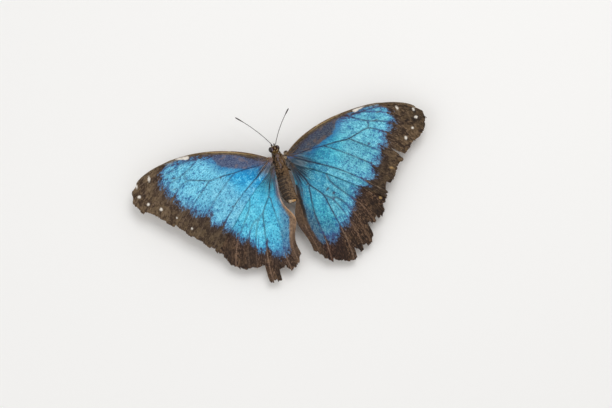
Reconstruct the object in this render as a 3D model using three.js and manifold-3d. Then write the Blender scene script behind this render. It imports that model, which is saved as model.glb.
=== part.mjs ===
// Blue morpho butterfly, life size, at rest with its worn wings spread nearly flat.
//
// Millimetres and degrees.  The butterfly faces +Y, its right side is +X and +Z is up.  It stands
// on the last leg joints of its middle and hind legs, whose flat undersides lie at z = 0, and the
// origin is below the middle of its outline.  While it is being built, x and y are measured from
// the point midway between the wing hinges; the whole group is shifted once at the end.

import * as THREE from 'three';
import { mergeVertices } from 'three/addons/utils/BufferGeometryUtils.js';
import Module from 'manifold-3d';

const wasm = await Module();
wasm.setup();

// ---- driving dimensions ---------------------------------------------------------------------

const HINGE_HEIGHT = 10.3;       // wing hinges above the floor
const WING_THICKNESS = 0.56;
const WING_ARCH = 1.7;           // how far the spread wing bows upwards
const WING_SPAN_OF_ARCH = 66;    // distance from the hinge at which that bow is over
const TIP_DROOP = 0.06;          // fall per millimetre towards the tip of the front wing
const HIND_DROOP = 0.07;         // further fall per millimetre towards the hind edge
const STACK_STEP = 0.46;         // the front wing's middle is this far above the shared surface,
                                 // and the hind wing's is this far below it
const MIDDLE_HINGE = { x: 3.4, y: -1 };   // the height of a wing is ruled by the distance from here
const SHOULDER_POWER = 4;        // how close to the root the front edge's extra bulge stays
const ROOT_RADIUS = 0.5;         // each wing starts this far from its hinge
const WING_RINGS = 6;            // rings of faces from root to edge
const RAYS_PER_CELL = 3;         // rays of faces between two neighbouring vein ends
const TEAR_EDGE = 0.05;          // width of the steep side of a tear, in cells
const SCALLOP_DEPTH = 0.55;      // the edge is this much hollowed between two vein ends

const THORAX = { x: -0.5, front: 2.3, back: -7.2, z: 8.35, tallness: 1.08 };
const THORAX_GIRTH = [1.5, 2.4, 2.75, 2.85, 2.85, 2.8, 2.6];   // half widths from front to back
const ABDOMEN_GIRTH = [2.65, 2.95, 3.1, 3.15, 3.15, 3.05, 2.85, 2.35];   // half width of each ring
const ABDOMEN_WAIST = 0.965;     // how far the skin draws in between two rings
const HEAD = { x: -0.55, y: 4.15, z: 8.7, halfWidth: 1.75, halfLength: 1.75, halfHeight: 1.85 };
const EYE = { outward: 1.35, forward: 0.3, up: 0.25, across: 1.02, along: 1.3, tall: 1.42 };
const EYE_SOCKET_GAP = 0.16;
const PIECE_GAP = 0.25;          // clearance between pieces that meet end to end

// ---- shapes of the wings --------------------------------------------------------------------
//
// A wing is a fan of curved rays from its hinge.  Each vein's end on the outer edge is given by
// its angle (0 is straight out sideways, positive is forward) and its distance from the hinge.
// Places along the edge are counted in cells: 0 is the first vein's end, 1 the second's.

const FOREWING = {
  level: STACK_STEP,
  veinEnds: [
    { name: 'R4', angle: 10.4, reach: 57.9 },
    { name: 'R5', angle: 6.8, reach: 60.4 },
    { name: 'M1', angle: 2.6, reach: 61.1 },
    { name: 'M2', angle: -2.8, reach: 58.5 },
    { name: 'M3', angle: -9.0, reach: 53.0 },
    { name: 'CuA1', angle: -17.5, reach: 49.0 },
    { name: 'CuA2', angle: -28.0, reach: 46.2 },
    { name: '2A', angle: -38.0, reach: 45.3 },
    { name: 'corner', angle: -41.2, reach: 45.4 },
  ],
  frontBow: { angle: 25.4, power: 0.75 },   // the leading edge runs forward near the root
  rearBow: { angle: -2, power: 1 },
  rayBend: { amount: 3, power: 1.5 },       // inner rays keep forward and bend back further out
};

const HINDWING = {
  level: -STACK_STEP,
  veinEnds: [
    { name: 'front corner', angle: -33.0, reach: 43.6 },
    { name: 'Rs', angle: -38.5, reach: 44.8 },
    { name: 'M1', angle: -47.5, reach: 46.2 },
    { name: 'M2', angle: -57.0, reach: 48.0 },
    { name: 'M3', angle: -64.0, reach: 49.2 },
    { name: 'CuA1', angle: -71.0, reach: 50.0 },
    { name: 'CuA2', angle: -78.5, reach: 47.4 },
    { name: '2A', angle: -85.0, reach: 41.4 },
    { name: 'inner end', angle: -87.5, reach: 38.3 },
  ],
  frontBow: { angle: 22, power: 0.8 },
  rearBow: { angle: 13, power: 1 },
  rayBend: { amount: 0, power: 1 },
};

// Each wing as it lies: its hinge, how far its front and its rear edge are turned from the shape
// above, by how many degrees the front edge bulges forward at the root (shoulder), and its wear.
// A tear runs between two places on the edge and takes off the given depth at each.  The inner
// fold is the flap beside the abdomen: how far it swings inwards, where and how widely along the
// wing, and how far it hangs down.

const WINGS = [
  {
    name: 'forewing_left', shape: FOREWING, side: -1, hinge: { x: 3.6, y: 0.4 }, turn: [0, 0],
    shoulder: 4,
    tears: [
      { from: 3.1, to: 4.25, depth: [0.9, 0.5] },
      { from: 4.8, to: 5.35, depth: [1.2, 0.6] },
      { from: 5.8, to: 6.35, depth: [0.7, 0.5] },
      { from: 6.86, to: 7.3, depth: [1.1, 0.8] },
    ],
  },
  {
    name: 'forewing_right', shape: FOREWING, side: 1, hinge: { x: 3.5, y: -0.3 }, turn: [-8.8, -2],
    shoulder: 13,
    tears: [
      { from: 1.9, to: 2.3, depth: [0.6, 0.4] },
      { from: 3.7, to: 4.1, depth: [0.5, 0.4] },
      { from: 4.64, to: 4.86, depth: [2.2, 2.0] },
      { from: 4.7, to: 4.78, depth: [5.6, 4.6] },
      { from: 5.12, to: 5.4, depth: [0.6, 0.5] },
      { from: 6.44, to: 6.92, depth: [1.5, 1.0] },
    ],
  },
  {
    name: 'hindwing_left', shape: HINDWING, side: -1, hinge: { x: 3.1, y: -3.2 }, turn: [0, 0],
    shoulder: 0,
    tears: [
      { from: 0, to: 0.6, depth: [1.8, 1.2] },
      { from: 0.6, to: 1.4, depth: [1.0, 2.6] },
      { from: 1.4, to: 2.6, depth: [1.4, 1.6] },
      { from: 2.6, to: 4.62, depth: [2.3, 8.2] },
      { from: 4.62, to: 5.5, depth: [1.5, 1.1] },
      { from: 5.0, to: 5.22, depth: [2.4, 2.5] },
      { from: 5.54, to: 6.06, depth: [5.2, 5.6] },
      { from: 6.06, to: 6.24, depth: [4.4, 2.4] },
      { from: 6.24, to: 6.5, depth: [1.2, 0.6] },
    ],
    innerFold: { swing: 10.5, place: 0.59, spread: 0.16, drop: 1.2 },
  },
  {
    name: 'hindwing_right', shape: HINDWING, side: 1, hinge: { x: 3.0, y: -3.9 }, turn: [-5, -5],
    shoulder: 0,
    tears: [
      { from: 0.8, to: 1.2, depth: [0.9, 1.6] },
      { from: 1.74, to: 2.56, depth: [1.2, 3.2] },
      { from: 2.04, to: 2.22, depth: [3.5, 3.3] },
      { from: 2.56, to: 2.8, depth: [4.8, 5.6] },
      { from: 2.8, to: 3.1, depth: [1.3, 0.9] },
      { from: 3.62, to: 4.02, depth: [1.3, 3.3] },
      { from: 4.02, to: 4.34, depth: [1.4, 1.4] },
      { from: 4.34, to: 4.68, depth: [2.2, 4.8] },
      { from: 4.68, to: 5.6, depth: [1.0, 1.0] },
      { from: 5.6, to: 6.2, depth: [1.6, 2.0] },
      { from: 6.8, to: 7.4, depth: [1.1, 0.7] },
    ],
    innerFold: { swing: 15.4, place: 0.55, spread: 0.28, drop: 1.6 },
  },
];

// ---- shapes of the legs and feelers ---------------------------------------------------------
//
// Joints of the right legs, from the thorax to the claws, with x counted from the middle of the
// thorax; the left legs are their mirror image.

const LEGS = {
  midleg: {
    hip: [2.05, -1.5, 5.4],
    knee: [7.6, 0.6, 7.5],
    ankle: [11.2, 1.8, 0.95],
    claws: [13.5, 5.9, 0.07],
  },
  hindleg: {
    hip: [2.0, -4.4, 5.4],
    knee: [6.3, -8.6, 6.9],
    ankle: [7.8, -14.4, 0.95],
    claws: [8.8, -21.6, 0.07],
  },
};
const LEG_SEGMENTS = [
  { name: 'femur', from: 'hip', to: 'knee', radius: [0.34, 0.48, 0.3], bow: 0.25 },
  { name: 'tibia', from: 'knee', to: 'ankle', radius: [0.28, 0.34, 0.27], bow: 0.15 },
  { name: 'tarsus', from: 'ankle', to: 'claws', radius: [0.27, 0.27, 0.26], bow: -0.72 },
];
const FORELEG = { hip: [1.75, 1.3, 5.8], bend: [1.75, 2.6, 5.0], tip: [1.3, 4.6, 5.9] };

const ANTENNAE = {
  antenna_left: { root: [-0.6, 5.5, 10.55], middle: [-4.6, 14.2, 11.9], tip: [-11.5, 21.9, 13.2] },
  antenna_right: { root: [0.6, 5.5, 10.55], middle: [4.6, 11.4, 15.2], tip: [10.9, 15.6, 20.4] },
};
const FEELER_RADIUS = 0.25;
const CLUB_RADIUS = 0.34;

// ---- small helpers --------------------------------------------------------------------------

const degrees = THREE.MathUtils.degToRad;
const mix = THREE.MathUtils.lerp;
const point = (xyz) => new THREE.Vector3(...xyz);

function material(color, roughness, metalness = 0) {
  return new THREE.MeshStandardMaterial({ color, roughness, metalness });
}

const SURFACES = {
  wing: material(0x3f97cf, 0.45, 0.2),
  fur: material(0x4a3a2e, 0.9),
  scaly: material(0x5a4838, 0.8),
  eye: material(0x1d1512, 0.2),
  feeler: material(0x2a211c, 0.7),
  shell: material(0x4b3b30, 0.6),
};

// Drops normals and uvs and welds the points, so that the shape is one closed skin.
function welded(geometry) {
  geometry.deleteAttribute('normal');
  geometry.deleteAttribute('uv');
  return mergeVertices(geometry, 1e-4);
}

// Moves every point of a closed skin to where place(x, y, z) says.
function reshaped(geometry, place) {
  const skin = welded(geometry);
  const positions = skin.attributes.position;
  const vertex = new THREE.Vector3();
  for (let i = 0; i < positions.count; i += 1) {
    vertex.fromBufferAttribute(positions, i);
    const moved = place(vertex);
    positions.setXYZ(i, moved.x, moved.y, moved.z);
  }
  return mergeVertices(skin, 1e-5);
}

// Turns the faces round, for a shape that mirroring has turned inside out.
function flipped(geometry) {
  const index = geometry.index.array;
  for (let i = 0; i < index.length; i += 3) {
    [index[i + 1], index[i + 2]] = [index[i + 2], index[i + 1]];
  }
  return geometry;
}

function toSolid(geometry) {
  const skin = welded(geometry.clone());
  return new wasm.Manifold(new wasm.Mesh({
    numProp: 3,
    vertProperties: new Float32Array(skin.attributes.position.array),
    triVerts: new Uint32Array(skin.index.array),
  }));
}

function toGeometry(solid) {
  const mesh = solid.getMesh();
  const geometry = new THREE.BufferGeometry();
  geometry.setAttribute('position', new THREE.BufferAttribute(mesh.vertProperties, 3));
  geometry.setIndex(new THREE.BufferAttribute(mesh.triVerts, 1));
  return geometry;
}

function ellipsoid(centre, radii, around, along) {
  const ball = new THREE.SphereGeometry(1, around, along);
  ball.rotateX(Math.PI / 2);
  ball.scale(...radii);
  ball.translate(...centre);
  return ball;
}

// A round limb along a curve: radii are spread evenly from its start to its end, and both ends
// are closed by a small dome.
function limb(curve, radii, { around = 8, rings = 8 } = {}) {
  const profile = [new THREE.Vector2(0, 0)];
  for (let ring = 0; ring <= rings; ring += 1) {
    const along = ring / rings;
    const place = along * (radii.length - 1);
    const before = Math.min(Math.floor(place), radii.length - 2);
    const radius = mix(radii[before], radii[before + 1], place - before);
    const domed = ring === 0 || ring === rings ? radius * 0.72 : radius;
    profile.push(new THREE.Vector2(domed, mix(0.012, 0.988, along)));
  }
  profile.push(new THREE.Vector2(0, 1));
  const frames = curve.computeFrenetFrames(rings * 4, false);
  return reshaped(new THREE.LatheGeometry(profile, around), (vertex) => {
    const along = THREE.MathUtils.clamp(vertex.y, 0, 1);
    const frame = Math.round(along * rings * 4);
    return curve.getPointAt(along)
      .addScaledVector(frames.normals[frame], vertex.z)
      .addScaledVector(frames.binormals[frame], vertex.x);
  });
}

// A gentle curve from one point to another that rises by bow in its middle.
function bowed(from, to, bow) {
  const middle = from.clone().lerp(to, 0.5);
  middle.z += bow;
  return new THREE.QuadraticBezierCurve3(from, middle, to);
}

// The straight way from one point to another, kept short of both by the clearance.
function shortened(from, to, clearance) {
  const step = to.clone().sub(from).setLength(clearance);
  return [from.clone().add(step), to.clone().sub(step)];
}

// ---- wings ----------------------------------------------------------------------------------

// A smooth reading between the vein ends of one of their values.
function alongEdge(shape, key, place) {
  const ends = shape.veinEnds;
  const cell = THREE.MathUtils.clamp(Math.floor(place), 0, ends.length - 2);
  const value = (i) => ends[THREE.MathUtils.clamp(i, 0, ends.length - 1)][key];
  const t = place - cell;
  if (key === 'angle') {
    return mix(value(cell), value(cell + 1), t);
  }
  const slopeIn = (value(cell + 1) - value(cell - 1)) / 2;
  const slopeOut = (value(cell + 2) - value(cell)) / 2;
  const t2 = t * t;
  const t3 = t2 * t;
  return value(cell) * (2 * t3 - 3 * t2 + 1) + slopeIn * (t3 - 2 * t2 + t)
    + value(cell + 1) * (3 * t2 - 2 * t3) + slopeOut * (t3 - t2);
}

// How much of the edge is worn away at a place.
function wornDepth(wing, place) {
  let depth = 0;
  for (const tear of wing.tears) {
    const outside = Math.max(tear.from - place, place - tear.to, 0);
    if (outside < TEAR_EDGE) {
      const t = THREE.MathUtils.clamp((place - tear.from) / (tear.to - tear.from), 0, 1);
      depth = Math.max(depth, mix(tear.depth[0], tear.depth[1], t) * (1 - outside / TEAR_EDGE));
    }
  }
  return depth;
}

// The height of the surface that both wings of a side share.  It is measured from a middle point
// between the two hinges of the side.
function surfaceHeight(x, y) {
  const out = Math.max(Math.abs(x) - MIDDLE_HINGE.x, 0.01);
  const back = y - MIDDLE_HINGE.y;
  const distance = Math.hypot(out, back);
  const rearward = THREE.MathUtils.smoothstep(-Math.atan2(back, out), 0, degrees(65));
  const bow = WING_ARCH * Math.sin(Math.PI * Math.min(distance / WING_SPAN_OF_ARCH, 1));
  return HINGE_HEIGHT + bow - distance * (TIP_DROOP + HIND_DROOP * rearward);
}

// The middle of the wing at a place along the edge and a share of the way out from the root.
function wingPoint(wing, place, out) {
  const { shape, side, hinge } = wing;
  const ends = shape.veinEnds;
  const frontEnd = ends[0].angle;
  const rearEnd = ends[ends.length - 1].angle;
  const inward = 1 - out;
  const front = frontEnd + shape.frontBow.angle * inward ** shape.frontBow.power
    + wing.shoulder * inward ** SHOULDER_POWER;
  const rear = rearEnd + shape.rearBow.angle * inward ** shape.rearBow.power;
  const share = (frontEnd - alongEdge(shape, 'angle', place)) / (frontEnd - rearEnd);
  const bend = 1 + shape.rayBend.amount * inward ** shape.rayBend.power;
  const fanned = share ** bend;
  let angle = mix(front + wing.turn[0], rear + wing.turn[1], fanned);
  let drop = 0;
  if (wing.innerFold) {
    const { swing, place: centre, spread } = wing.innerFold;
    const fold = share ** 8;
    angle -= swing * fold * Math.exp(-(((out - centre) / spread) ** 2));
    drop = wing.innerFold.drop * fold * Math.sin(Math.PI * out);
  }
  const cellMiddle = Math.sin(Math.PI * (place - Math.floor(place))) ** 2;
  const reach = alongEdge(shape, 'reach', place) - SCALLOP_DEPTH * cellMiddle;
  const radius = ROOT_RADIUS + out * (reach - ROOT_RADIUS - wornDepth(wing, place) * out ** 4);
  const x = hinge.x + radius * Math.cos(degrees(angle));
  const y = hinge.y + radius * Math.sin(degrees(angle));
  return new THREE.Vector3(side * x, y, surfaceHeight(x, y) + shape.level - drop);
}

// Where the rays of a wing run: evenly through every cell, and at both sides of each tear.
function rayPlaces(wing) {
  const last = wing.shape.veinEnds.length - 1;
  const places = [];
  for (let ray = 0; ray <= last * RAYS_PER_CELL; ray += 1) {
    places.push(ray / RAYS_PER_CELL);
  }
  for (const { from, to } of wing.tears) {
    places.push(from - TEAR_EDGE, from, to, to + TEAR_EDGE);
  }
  const inside = places.filter((place) => place >= 0 && place <= last).sort((a, b) => a - b);
  return inside.filter((place, i) => i === 0 || place - inside[i - 1] > 0.02);
}

// A flat box with one column of faces per ray is bent into the wing.
function wingSolid(wing) {
  const places = rayPlaces(wing);
  const rays = places.length - 1;
  const plate = new THREE.BoxGeometry(1, 1, 1, rays, WING_RINGS, 1);
  const geometry = reshaped(plate, (vertex) => {
    const place = places[Math.round((vertex.x + 0.5) * rays)];
    const middle = wingPoint(wing, place, vertex.y + 0.5);
    middle.z += vertex.z * WING_THICKNESS;
    return middle;
  });
  return wing.side < 0 ? flipped(geometry) : geometry;
}

// ---- body -----------------------------------------------------------------------------------

// The thorax is a deep barrel with a shoulder on each side, to which the wings are hinged.
function thoraxSolid() {
  const { x, front, back, z, tallness } = THORAX;
  const spine = new THREE.LineCurve3(point([x, front, z]), point([x, back, z]));
  const barrel = reshaped(limb(spine, THORAX_GIRTH, { around: 20, rings: 12 }), (vertex) => (
    vertex.setZ(z + (vertex.z - z) * tallness)
  ));
  let solid = toSolid(barrel);
  for (const wing of WINGS.filter(({ shape }) => shape === FOREWING)) {
    const centre = [wing.side * (wing.hinge.x - 1.25), wing.hinge.y - 1.3, HINGE_HEIGHT - 0.5];
    solid = solid.add(toSolid(ellipsoid(centre, [1.4, 2.5, 1.2], 12, 8)));
  }
  return toGeometry(solid);
}

// The abdomen is ringed, widest in its middle, and ends bluntly.
function abdomenSolid() {
  const radii = ABDOMEN_GIRTH.flatMap((girth) => [girth, girth * ABDOMEN_WAIST]);
  const spine = new THREE.CatmullRomCurve3([
    point([-0.8, -7.45, 8.1]),
    point([-1.15, -11.5, 7.95]),
    point([-1.2, -15.5, 7.5]),
    point([-0.8, -19.75, 6.9]),
  ]);
  return limb(spine, radii, { around: 18, rings: radii.length - 1 });
}

function eyeCentre(side) {
  return [HEAD.x + side * EYE.outward, HEAD.y + EYE.forward, HEAD.z + EYE.up];
}

function eyeSolid(side) {
  return ellipsoid(eyeCentre(side), [EYE.across, EYE.along, EYE.tall], 14, 9);
}

// The head is a rounded capsule between the eyes, with a hollow for each of them.
function headSolid() {
  const { x, y, z, halfWidth, halfLength, halfHeight } = HEAD;
  let solid = toSolid(ellipsoid([x, y, z], [halfWidth, halfLength, halfHeight], 20, 12));
  for (const side of [-1, 1]) {
    const socket = [EYE.across, EYE.along, EYE.tall].map((radius) => radius + EYE_SOCKET_GAP);
    solid = solid.subtract(toSolid(ellipsoid(eyeCentre(side), socket, 14, 9)));
  }
  return toGeometry(solid);
}

// A palp curves up in front of the face.
function palpSolid(side) {
  const rise = new THREE.CatmullRomCurve3([
    point([HEAD.x + side * 0.5, 5.6, 6.9]),
    point([HEAD.x + side * 0.55, 6.35, 7.5]),
    point([HEAD.x + side * 0.6, 6.55, 8.5]),
    point([HEAD.x + side * 0.6, 6.35, 9.3]),
  ]);
  return limb(rise, [0.3, 0.42, 0.4, 0.25], { around: 6, rings: 6 });
}

// The tongue is coiled like a watch spring under the face.
function proboscisSolid() {
  const turns = 1.4;
  const coil = [];
  for (let step = 0; step <= 24; step += 1) {
    const turn = (step / 24) * turns;
    const radius = 1.2 - 0.57 * turn;
    const around = 2 * Math.PI * turn + Math.PI / 2;
    const centre = point([HEAD.x, 4.55, 5.55]);
    centre.y -= radius * Math.cos(around);
    centre.z += radius * Math.sin(around) * 0.9;
    coil.push(centre);
  }
  return limb(new THREE.CatmullRomCurve3(coil), [0.25, 0.23], { around: 6, rings: 24 });
}

// ---- limbs ----------------------------------------------------------------------------------

// A feeler is a thin stalk whose last part thickens into a slim club.
function antennaSolid({ root, middle, tip }) {
  const stalk = new THREE.QuadraticBezierCurve3(point(root), point(middle), point(tip));
  const club = [CLUB_RADIUS, CLUB_RADIUS * 0.8];
  const radii = [FEELER_RADIUS, FEELER_RADIUS, FEELER_RADIUS, FEELER_RADIUS, ...club];
  return limb(stalk, radii, { around: 6, rings: 16 });
}

// A joint of a right leg, or its mirror image for the left leg.
function onSide([outward, y, z], side) {
  return point([THORAX.x + side * outward, y, z]);
}

function legSegment(joints, segment, side) {
  const from = onSide(joints[segment.from], side);
  const to = onSide(joints[segment.to], side);
  const [start, end] = shortened(from, to, PIECE_GAP);
  const geometry = limb(bowed(start, end, segment.bow), segment.radius, { around: 8, rings: 4 });
  if (segment.name !== 'tarsus') {
    return geometry;
  }
  // The part that would sink below the floor is pressed flat, and makes the foot's sole.
  return reshaped(geometry, (vertex) => vertex.setZ(Math.max(vertex.z, 0)));
}

// The foreleg is a short brush, folded against the breast.
function forelegSolid(side) {
  const { hip, bend, tip } = FORELEG;
  const route = [hip, bend, tip].map((xyz) => onSide(xyz, side));
  const curve = new THREE.QuadraticBezierCurve3(...route);
  return limb(curve, [0.27, 0.36, 0.3], { around: 6, rings: 4 });
}

// ---- the butterfly --------------------------------------------------------------------------

const butterfly = new THREE.Group();

function addPiece(name, geometry, surface) {
  const piece = new THREE.Mesh(geometry, surface);
  piece.name = name;
  butterfly.add(piece);
}

addPiece('head', headSolid(), SURFACES.fur);
addPiece('thorax', thoraxSolid(), SURFACES.fur);
addPiece('abdomen', abdomenSolid(), SURFACES.scaly);
addPiece('proboscis', proboscisSolid(), SURFACES.shell);
for (const wing of WINGS) {
  addPiece(wing.name, wingSolid(wing), SURFACES.wing);
}
for (const [name, route] of Object.entries(ANTENNAE)) {
  addPiece(name, antennaSolid(route), SURFACES.feeler);
}
for (const [sideName, side] of [['left', -1], ['right', 1]]) {
  addPiece(`eye_${sideName}`, eyeSolid(side), SURFACES.eye);
  addPiece(`palp_${sideName}`, palpSolid(side), SURFACES.scaly);
  addPiece(`foreleg_${sideName}`, forelegSolid(side), SURFACES.scaly);
  for (const [legName, joints] of Object.entries(LEGS)) {
    for (const segment of LEG_SEGMENTS) {
      const name = `${legName}_${sideName}_${segment.name}`;
      addPiece(name, legSegment(joints, segment, side), SURFACES.shell);
    }
  }
}

// The origin goes below the middle of the outline; the soles are already at z = 0.
const outline = new THREE.Box3().setFromObject(butterfly);
const middle = outline.getCenter(new THREE.Vector3());
butterfly.position.set(-middle.x, -middle.y, 0);
butterfly.updateMatrixWorld(true);

export default butterfly;
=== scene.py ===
# A blue morpho butterfly at rest, its worn wings spread nearly flat.  The solids give every place
# and size; this script gives them their looks.  Shapes are worked out in millimetres from the
# point midway between the wing hinges, on the floor, and every mesh is in metres.

import math

import bpy
import numpy as np
from mathutils import Matrix, Vector
from mathutils.kdtree import KDTree


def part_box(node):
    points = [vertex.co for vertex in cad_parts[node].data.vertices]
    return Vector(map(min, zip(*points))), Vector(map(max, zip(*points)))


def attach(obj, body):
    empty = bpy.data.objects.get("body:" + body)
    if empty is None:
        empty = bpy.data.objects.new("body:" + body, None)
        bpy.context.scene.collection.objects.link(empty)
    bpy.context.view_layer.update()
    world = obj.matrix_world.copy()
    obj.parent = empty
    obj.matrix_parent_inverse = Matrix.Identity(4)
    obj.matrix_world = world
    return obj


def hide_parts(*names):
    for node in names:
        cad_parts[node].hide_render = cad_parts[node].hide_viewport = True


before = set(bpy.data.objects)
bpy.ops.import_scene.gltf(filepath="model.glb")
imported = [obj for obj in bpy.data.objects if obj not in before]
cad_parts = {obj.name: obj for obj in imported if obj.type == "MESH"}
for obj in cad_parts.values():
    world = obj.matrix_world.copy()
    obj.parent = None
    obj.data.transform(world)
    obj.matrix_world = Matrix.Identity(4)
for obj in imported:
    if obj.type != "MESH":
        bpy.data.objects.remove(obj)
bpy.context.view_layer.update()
scene = bpy.context.scene


# ---- the room -------------------------------------------------------------------------------
# A plain pale floor under a white sky, with one broad soft lamp high on the butterfly's right
# and a weak one on the other side, and the camera above and behind it.

MM = 0.001

# The thorax solid tells where the point midway between the hinges is.
THORAX_MIDDLE = (-0.05, -2.45)
thorax_low, thorax_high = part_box("thorax")
ORIGIN = np.array([
    (thorax_low[0] + thorax_high[0]) / 2 / MM - THORAX_MIDDLE[0],
    (thorax_low[1] + thorax_high[1]) / 2 / MM - THORAX_MIDDLE[1],
    0.0,
])


def to_metres(points):
    """Points counted from the middle of the hinges, as Blender wants them."""
    return (np.asarray(points, float) + ORIGIN) * MM


def deselect():
    bpy.ops.object.select_all(action="DESELECT")


def srgb(red, green, blue):
    """A colour given as it looks on a screen, 0 to 255, for a shader's socket."""
    parts = [value / 255 for value in (red, green, blue)]
    linear = [v / 12.92 if v <= 0.04045 else ((v + 0.055) / 1.055) ** 2.4 for v in parts]
    return (*linear, 1.0)


class Shade:
    """A socket of a material's nodes.  A sum on it adds the nodes that work the sum out."""

    def __init__(self, tree, socket):
        self.tree = tree
        self.socket = socket

    def node(self, kind, settings=None, inputs=None, output=0):
        made = self.tree.nodes.new(kind)
        for name, value in (settings or {}).items():
            setattr(made, name, value)
        for name, value in (inputs or {}).items():
            if isinstance(value, Shade):
                self.tree.links.new(value.socket, made.inputs[name])
            else:
                made.inputs[name].default_value = value
        return Shade(self.tree, made.outputs[output])

    def math(self, operation, other=0.0):
        return self.node("ShaderNodeMath", {"operation": operation}, {0: self, 1: other})

    def __add__(self, other):
        return self.math("ADD", other)

    __radd__ = __add__

    def __sub__(self, other):
        return self.math("SUBTRACT", other)

    def __rsub__(self, other):
        return self.node("ShaderNodeMath", {"operation": "SUBTRACT"}, {0: other, 1: self})

    def __mul__(self, other):
        return self.math("MULTIPLY", other)

    __rmul__ = __mul__

    def __truediv__(self, other):
        return self.math("DIVIDE", other)

    def low(self, other):
        return self.math("MINIMUM", other)

    def high(self, other):
        return self.math("MAXIMUM", other)

    def fraction(self):
        """What is left of a number without its whole part."""
        return self.math("FRACT")

    def step(self, start, end):
        """0 below start and 1 above end, or the other way round where end is the lower."""
        settings = {"interpolation_type": "SMOOTHSTEP", "clamp": True}
        if start < end:
            return self.node("ShaderNodeMapRange", settings, {0: self, 1: start, 2: end})
        inputs = {0: self, 1: end, 2: start, 3: 1.0, 4: 0.0}
        return self.node("ShaderNodeMapRange", settings, inputs)

    def near(self, middle, outer, inner):
        """1 within inner of a middle value and 0 beyond outer."""
        return (self - middle).math("ABSOLUTE").step(outer, inner)

    def mix(self, first, second):
        """The first colour where this is 0 and the second where it is 1.  Either may be three
        numbers, the colour as it looks on a screen."""
        first, second = (c if isinstance(c, Shade) else srgb(*c) for c in (first, second))
        return self.node("ShaderNodeMix", {"data_type": "RGBA"}, {0: self, 6: first, 7: second}, 2)

    def scaled(self, factor):
        """A colour made darker or lighter by a factor."""
        operation = {"operation": "SCALE"}
        return self.node("ShaderNodeVectorMath", operation, {0: self, 3: factor})

    def tinted(self, red, green, blue):
        """A colour with each part of it made weaker or stronger."""
        inputs = {0: self, 1: (red, green, blue)}
        return self.node("ShaderNodeVectorMath", {"operation": "MULTIPLY"}, inputs)

    def noise(self, scale, detail=2.0, roughness=0.5):
        """Cloudy noise on this vector, from 0 to 1, with scale patches in each unit."""
        inputs = {"Vector": self, "Scale": scale, "Detail": detail, "Roughness": roughness}
        return self.node("ShaderNodeTexNoise", None, inputs)

    def cells(self, scale, output="Distance"):
        """Round scales, with scale of them in each unit."""
        return self.node("ShaderNodeTexVoronoi", None, {"Vector": self, "Scale": scale}, output)

    def shifted(self, by):
        """A place moved so that the same noise gives another pattern."""
        operation = {"operation": "ADD"}
        return self.node("ShaderNodeVectorMath", operation, {0: self, 1: (by, by, by)})

    def stretched(self, across, along):
        inputs = {"Vector": self, "Scale": (across, along, 1.0)}
        return self.node("ShaderNodeMapping", {"vector_type": "POINT"}, inputs)

    def part(self, which):
        """One number of a place: 0 across, 1 along and 2 up."""
        return self.node("ShaderNodeSeparateXYZ", None, {0: self}, which)

    def bump(self, strength, height):
        """The surface's normal, raised by height in mm where this is 1."""
        inputs = {"Height": self, "Strength": strength, "Distance": height * MM}
        return self.node("ShaderNodeBump", None, inputs)


class Finish:
    """A material with one Principled shader, and the places that its patterns are read from."""

    def __init__(self, name):
        self.material = bpy.data.materials.new(name)
        self.material.use_nodes = True
        self.tree = self.material.node_tree
        self.shader = self.tree.nodes["Principled BSDF"]
        self.start = Shade(self.tree, None)

    def place(self):
        """The place on the object, in millimetres."""
        where = self.start.node("ShaderNodeTexCoord", output="Object")
        return where.scaled(1 / MM)

    def reading(self, name):
        """A number that the mesh carries at each of its points."""
        return self.start.node("ShaderNodeAttribute", {"attribute_name": name}, output="Fac")

    def map(self, name):
        return self.start.node("ShaderNodeUVMap", {"uv_map": name})

    def set(self, **values):
        for name, value in values.items():
            socket = self.shader.inputs[name.replace("_", " ")]
            if isinstance(value, Shade):
                self.tree.links.new(value.socket, socket)
            else:
                socket.default_value = value
        return self.material


FLOOR_SIZE = 6
deselect()
bpy.ops.mesh.primitive_plane_add(size=FLOOR_SIZE)
floor = bpy.context.object
floor.name = "floor"
floor_finish = Finish("pale floor")
floor.data.materials.append(floor_finish.set(Base_Color=srgb(246, 245, 243), Roughness=0.9))

world = bpy.data.worlds.new("white room")
scene.world = world
world.use_nodes = True
sky = Shade(world.node_tree, None)
seen = sky.node("ShaderNodeLightPath", output="Is Camera Ray")
mirrored = sky.node("ShaderNodeLightPath", output="Is Glossy Ray")
passed = sky.node("ShaderNodeLightPath", output="Is Transmission Ray")
background = world.node_tree.nodes["Background"]
background.inputs["Color"].default_value = (1, 1, 1, 1)
SKY_LIGHT = 0.6
strength = seen.high(mirrored).high(passed) * (1 - SKY_LIGHT) + SKY_LIGHT
world.node_tree.links.new(strength.socket, background.inputs["Strength"])

LAMPS = [
    {"name": "window", "place": (0.26, 0.2, 0.72), "size": 0.45, "power": 2.3},
    {"name": "bounce", "place": (-0.45, -0.1, 0.5), "size": 0.6, "power": 0.6},
]
for lamp in LAMPS:
    bpy.ops.object.light_add(type="AREA", location=lamp["place"])
    light = bpy.context.object
    light.name = lamp["name"]
    light.data.size = lamp["size"]
    light.data.energy = lamp["power"]
    light.rotation_euler = (-Vector(lamp["place"])).to_track_quat("-Z", "Y").to_euler()

scene.view_settings.view_transform = "Standard"

# The camera looks down from behind at 77 degrees, rolled so that the head points up and left.
CAMERA_HEIGHT_ANGLE = math.radians(77)
CAMERA_ROLL = math.radians(19.975)
CAMERA_DISTANCE = 716 * MM
CAMERA_LENS = 100.0
SENSOR_WIDTH = 36.0
HINGE_LEVEL = 10.3
HINGES_MIDDLE = (-0.05, 0.05, HINGE_LEVEL)
AIM_RIGHT = 11.6666    # from the hinges' middle, in mm along the frame
AIM_DOWN = 19.7953

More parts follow.
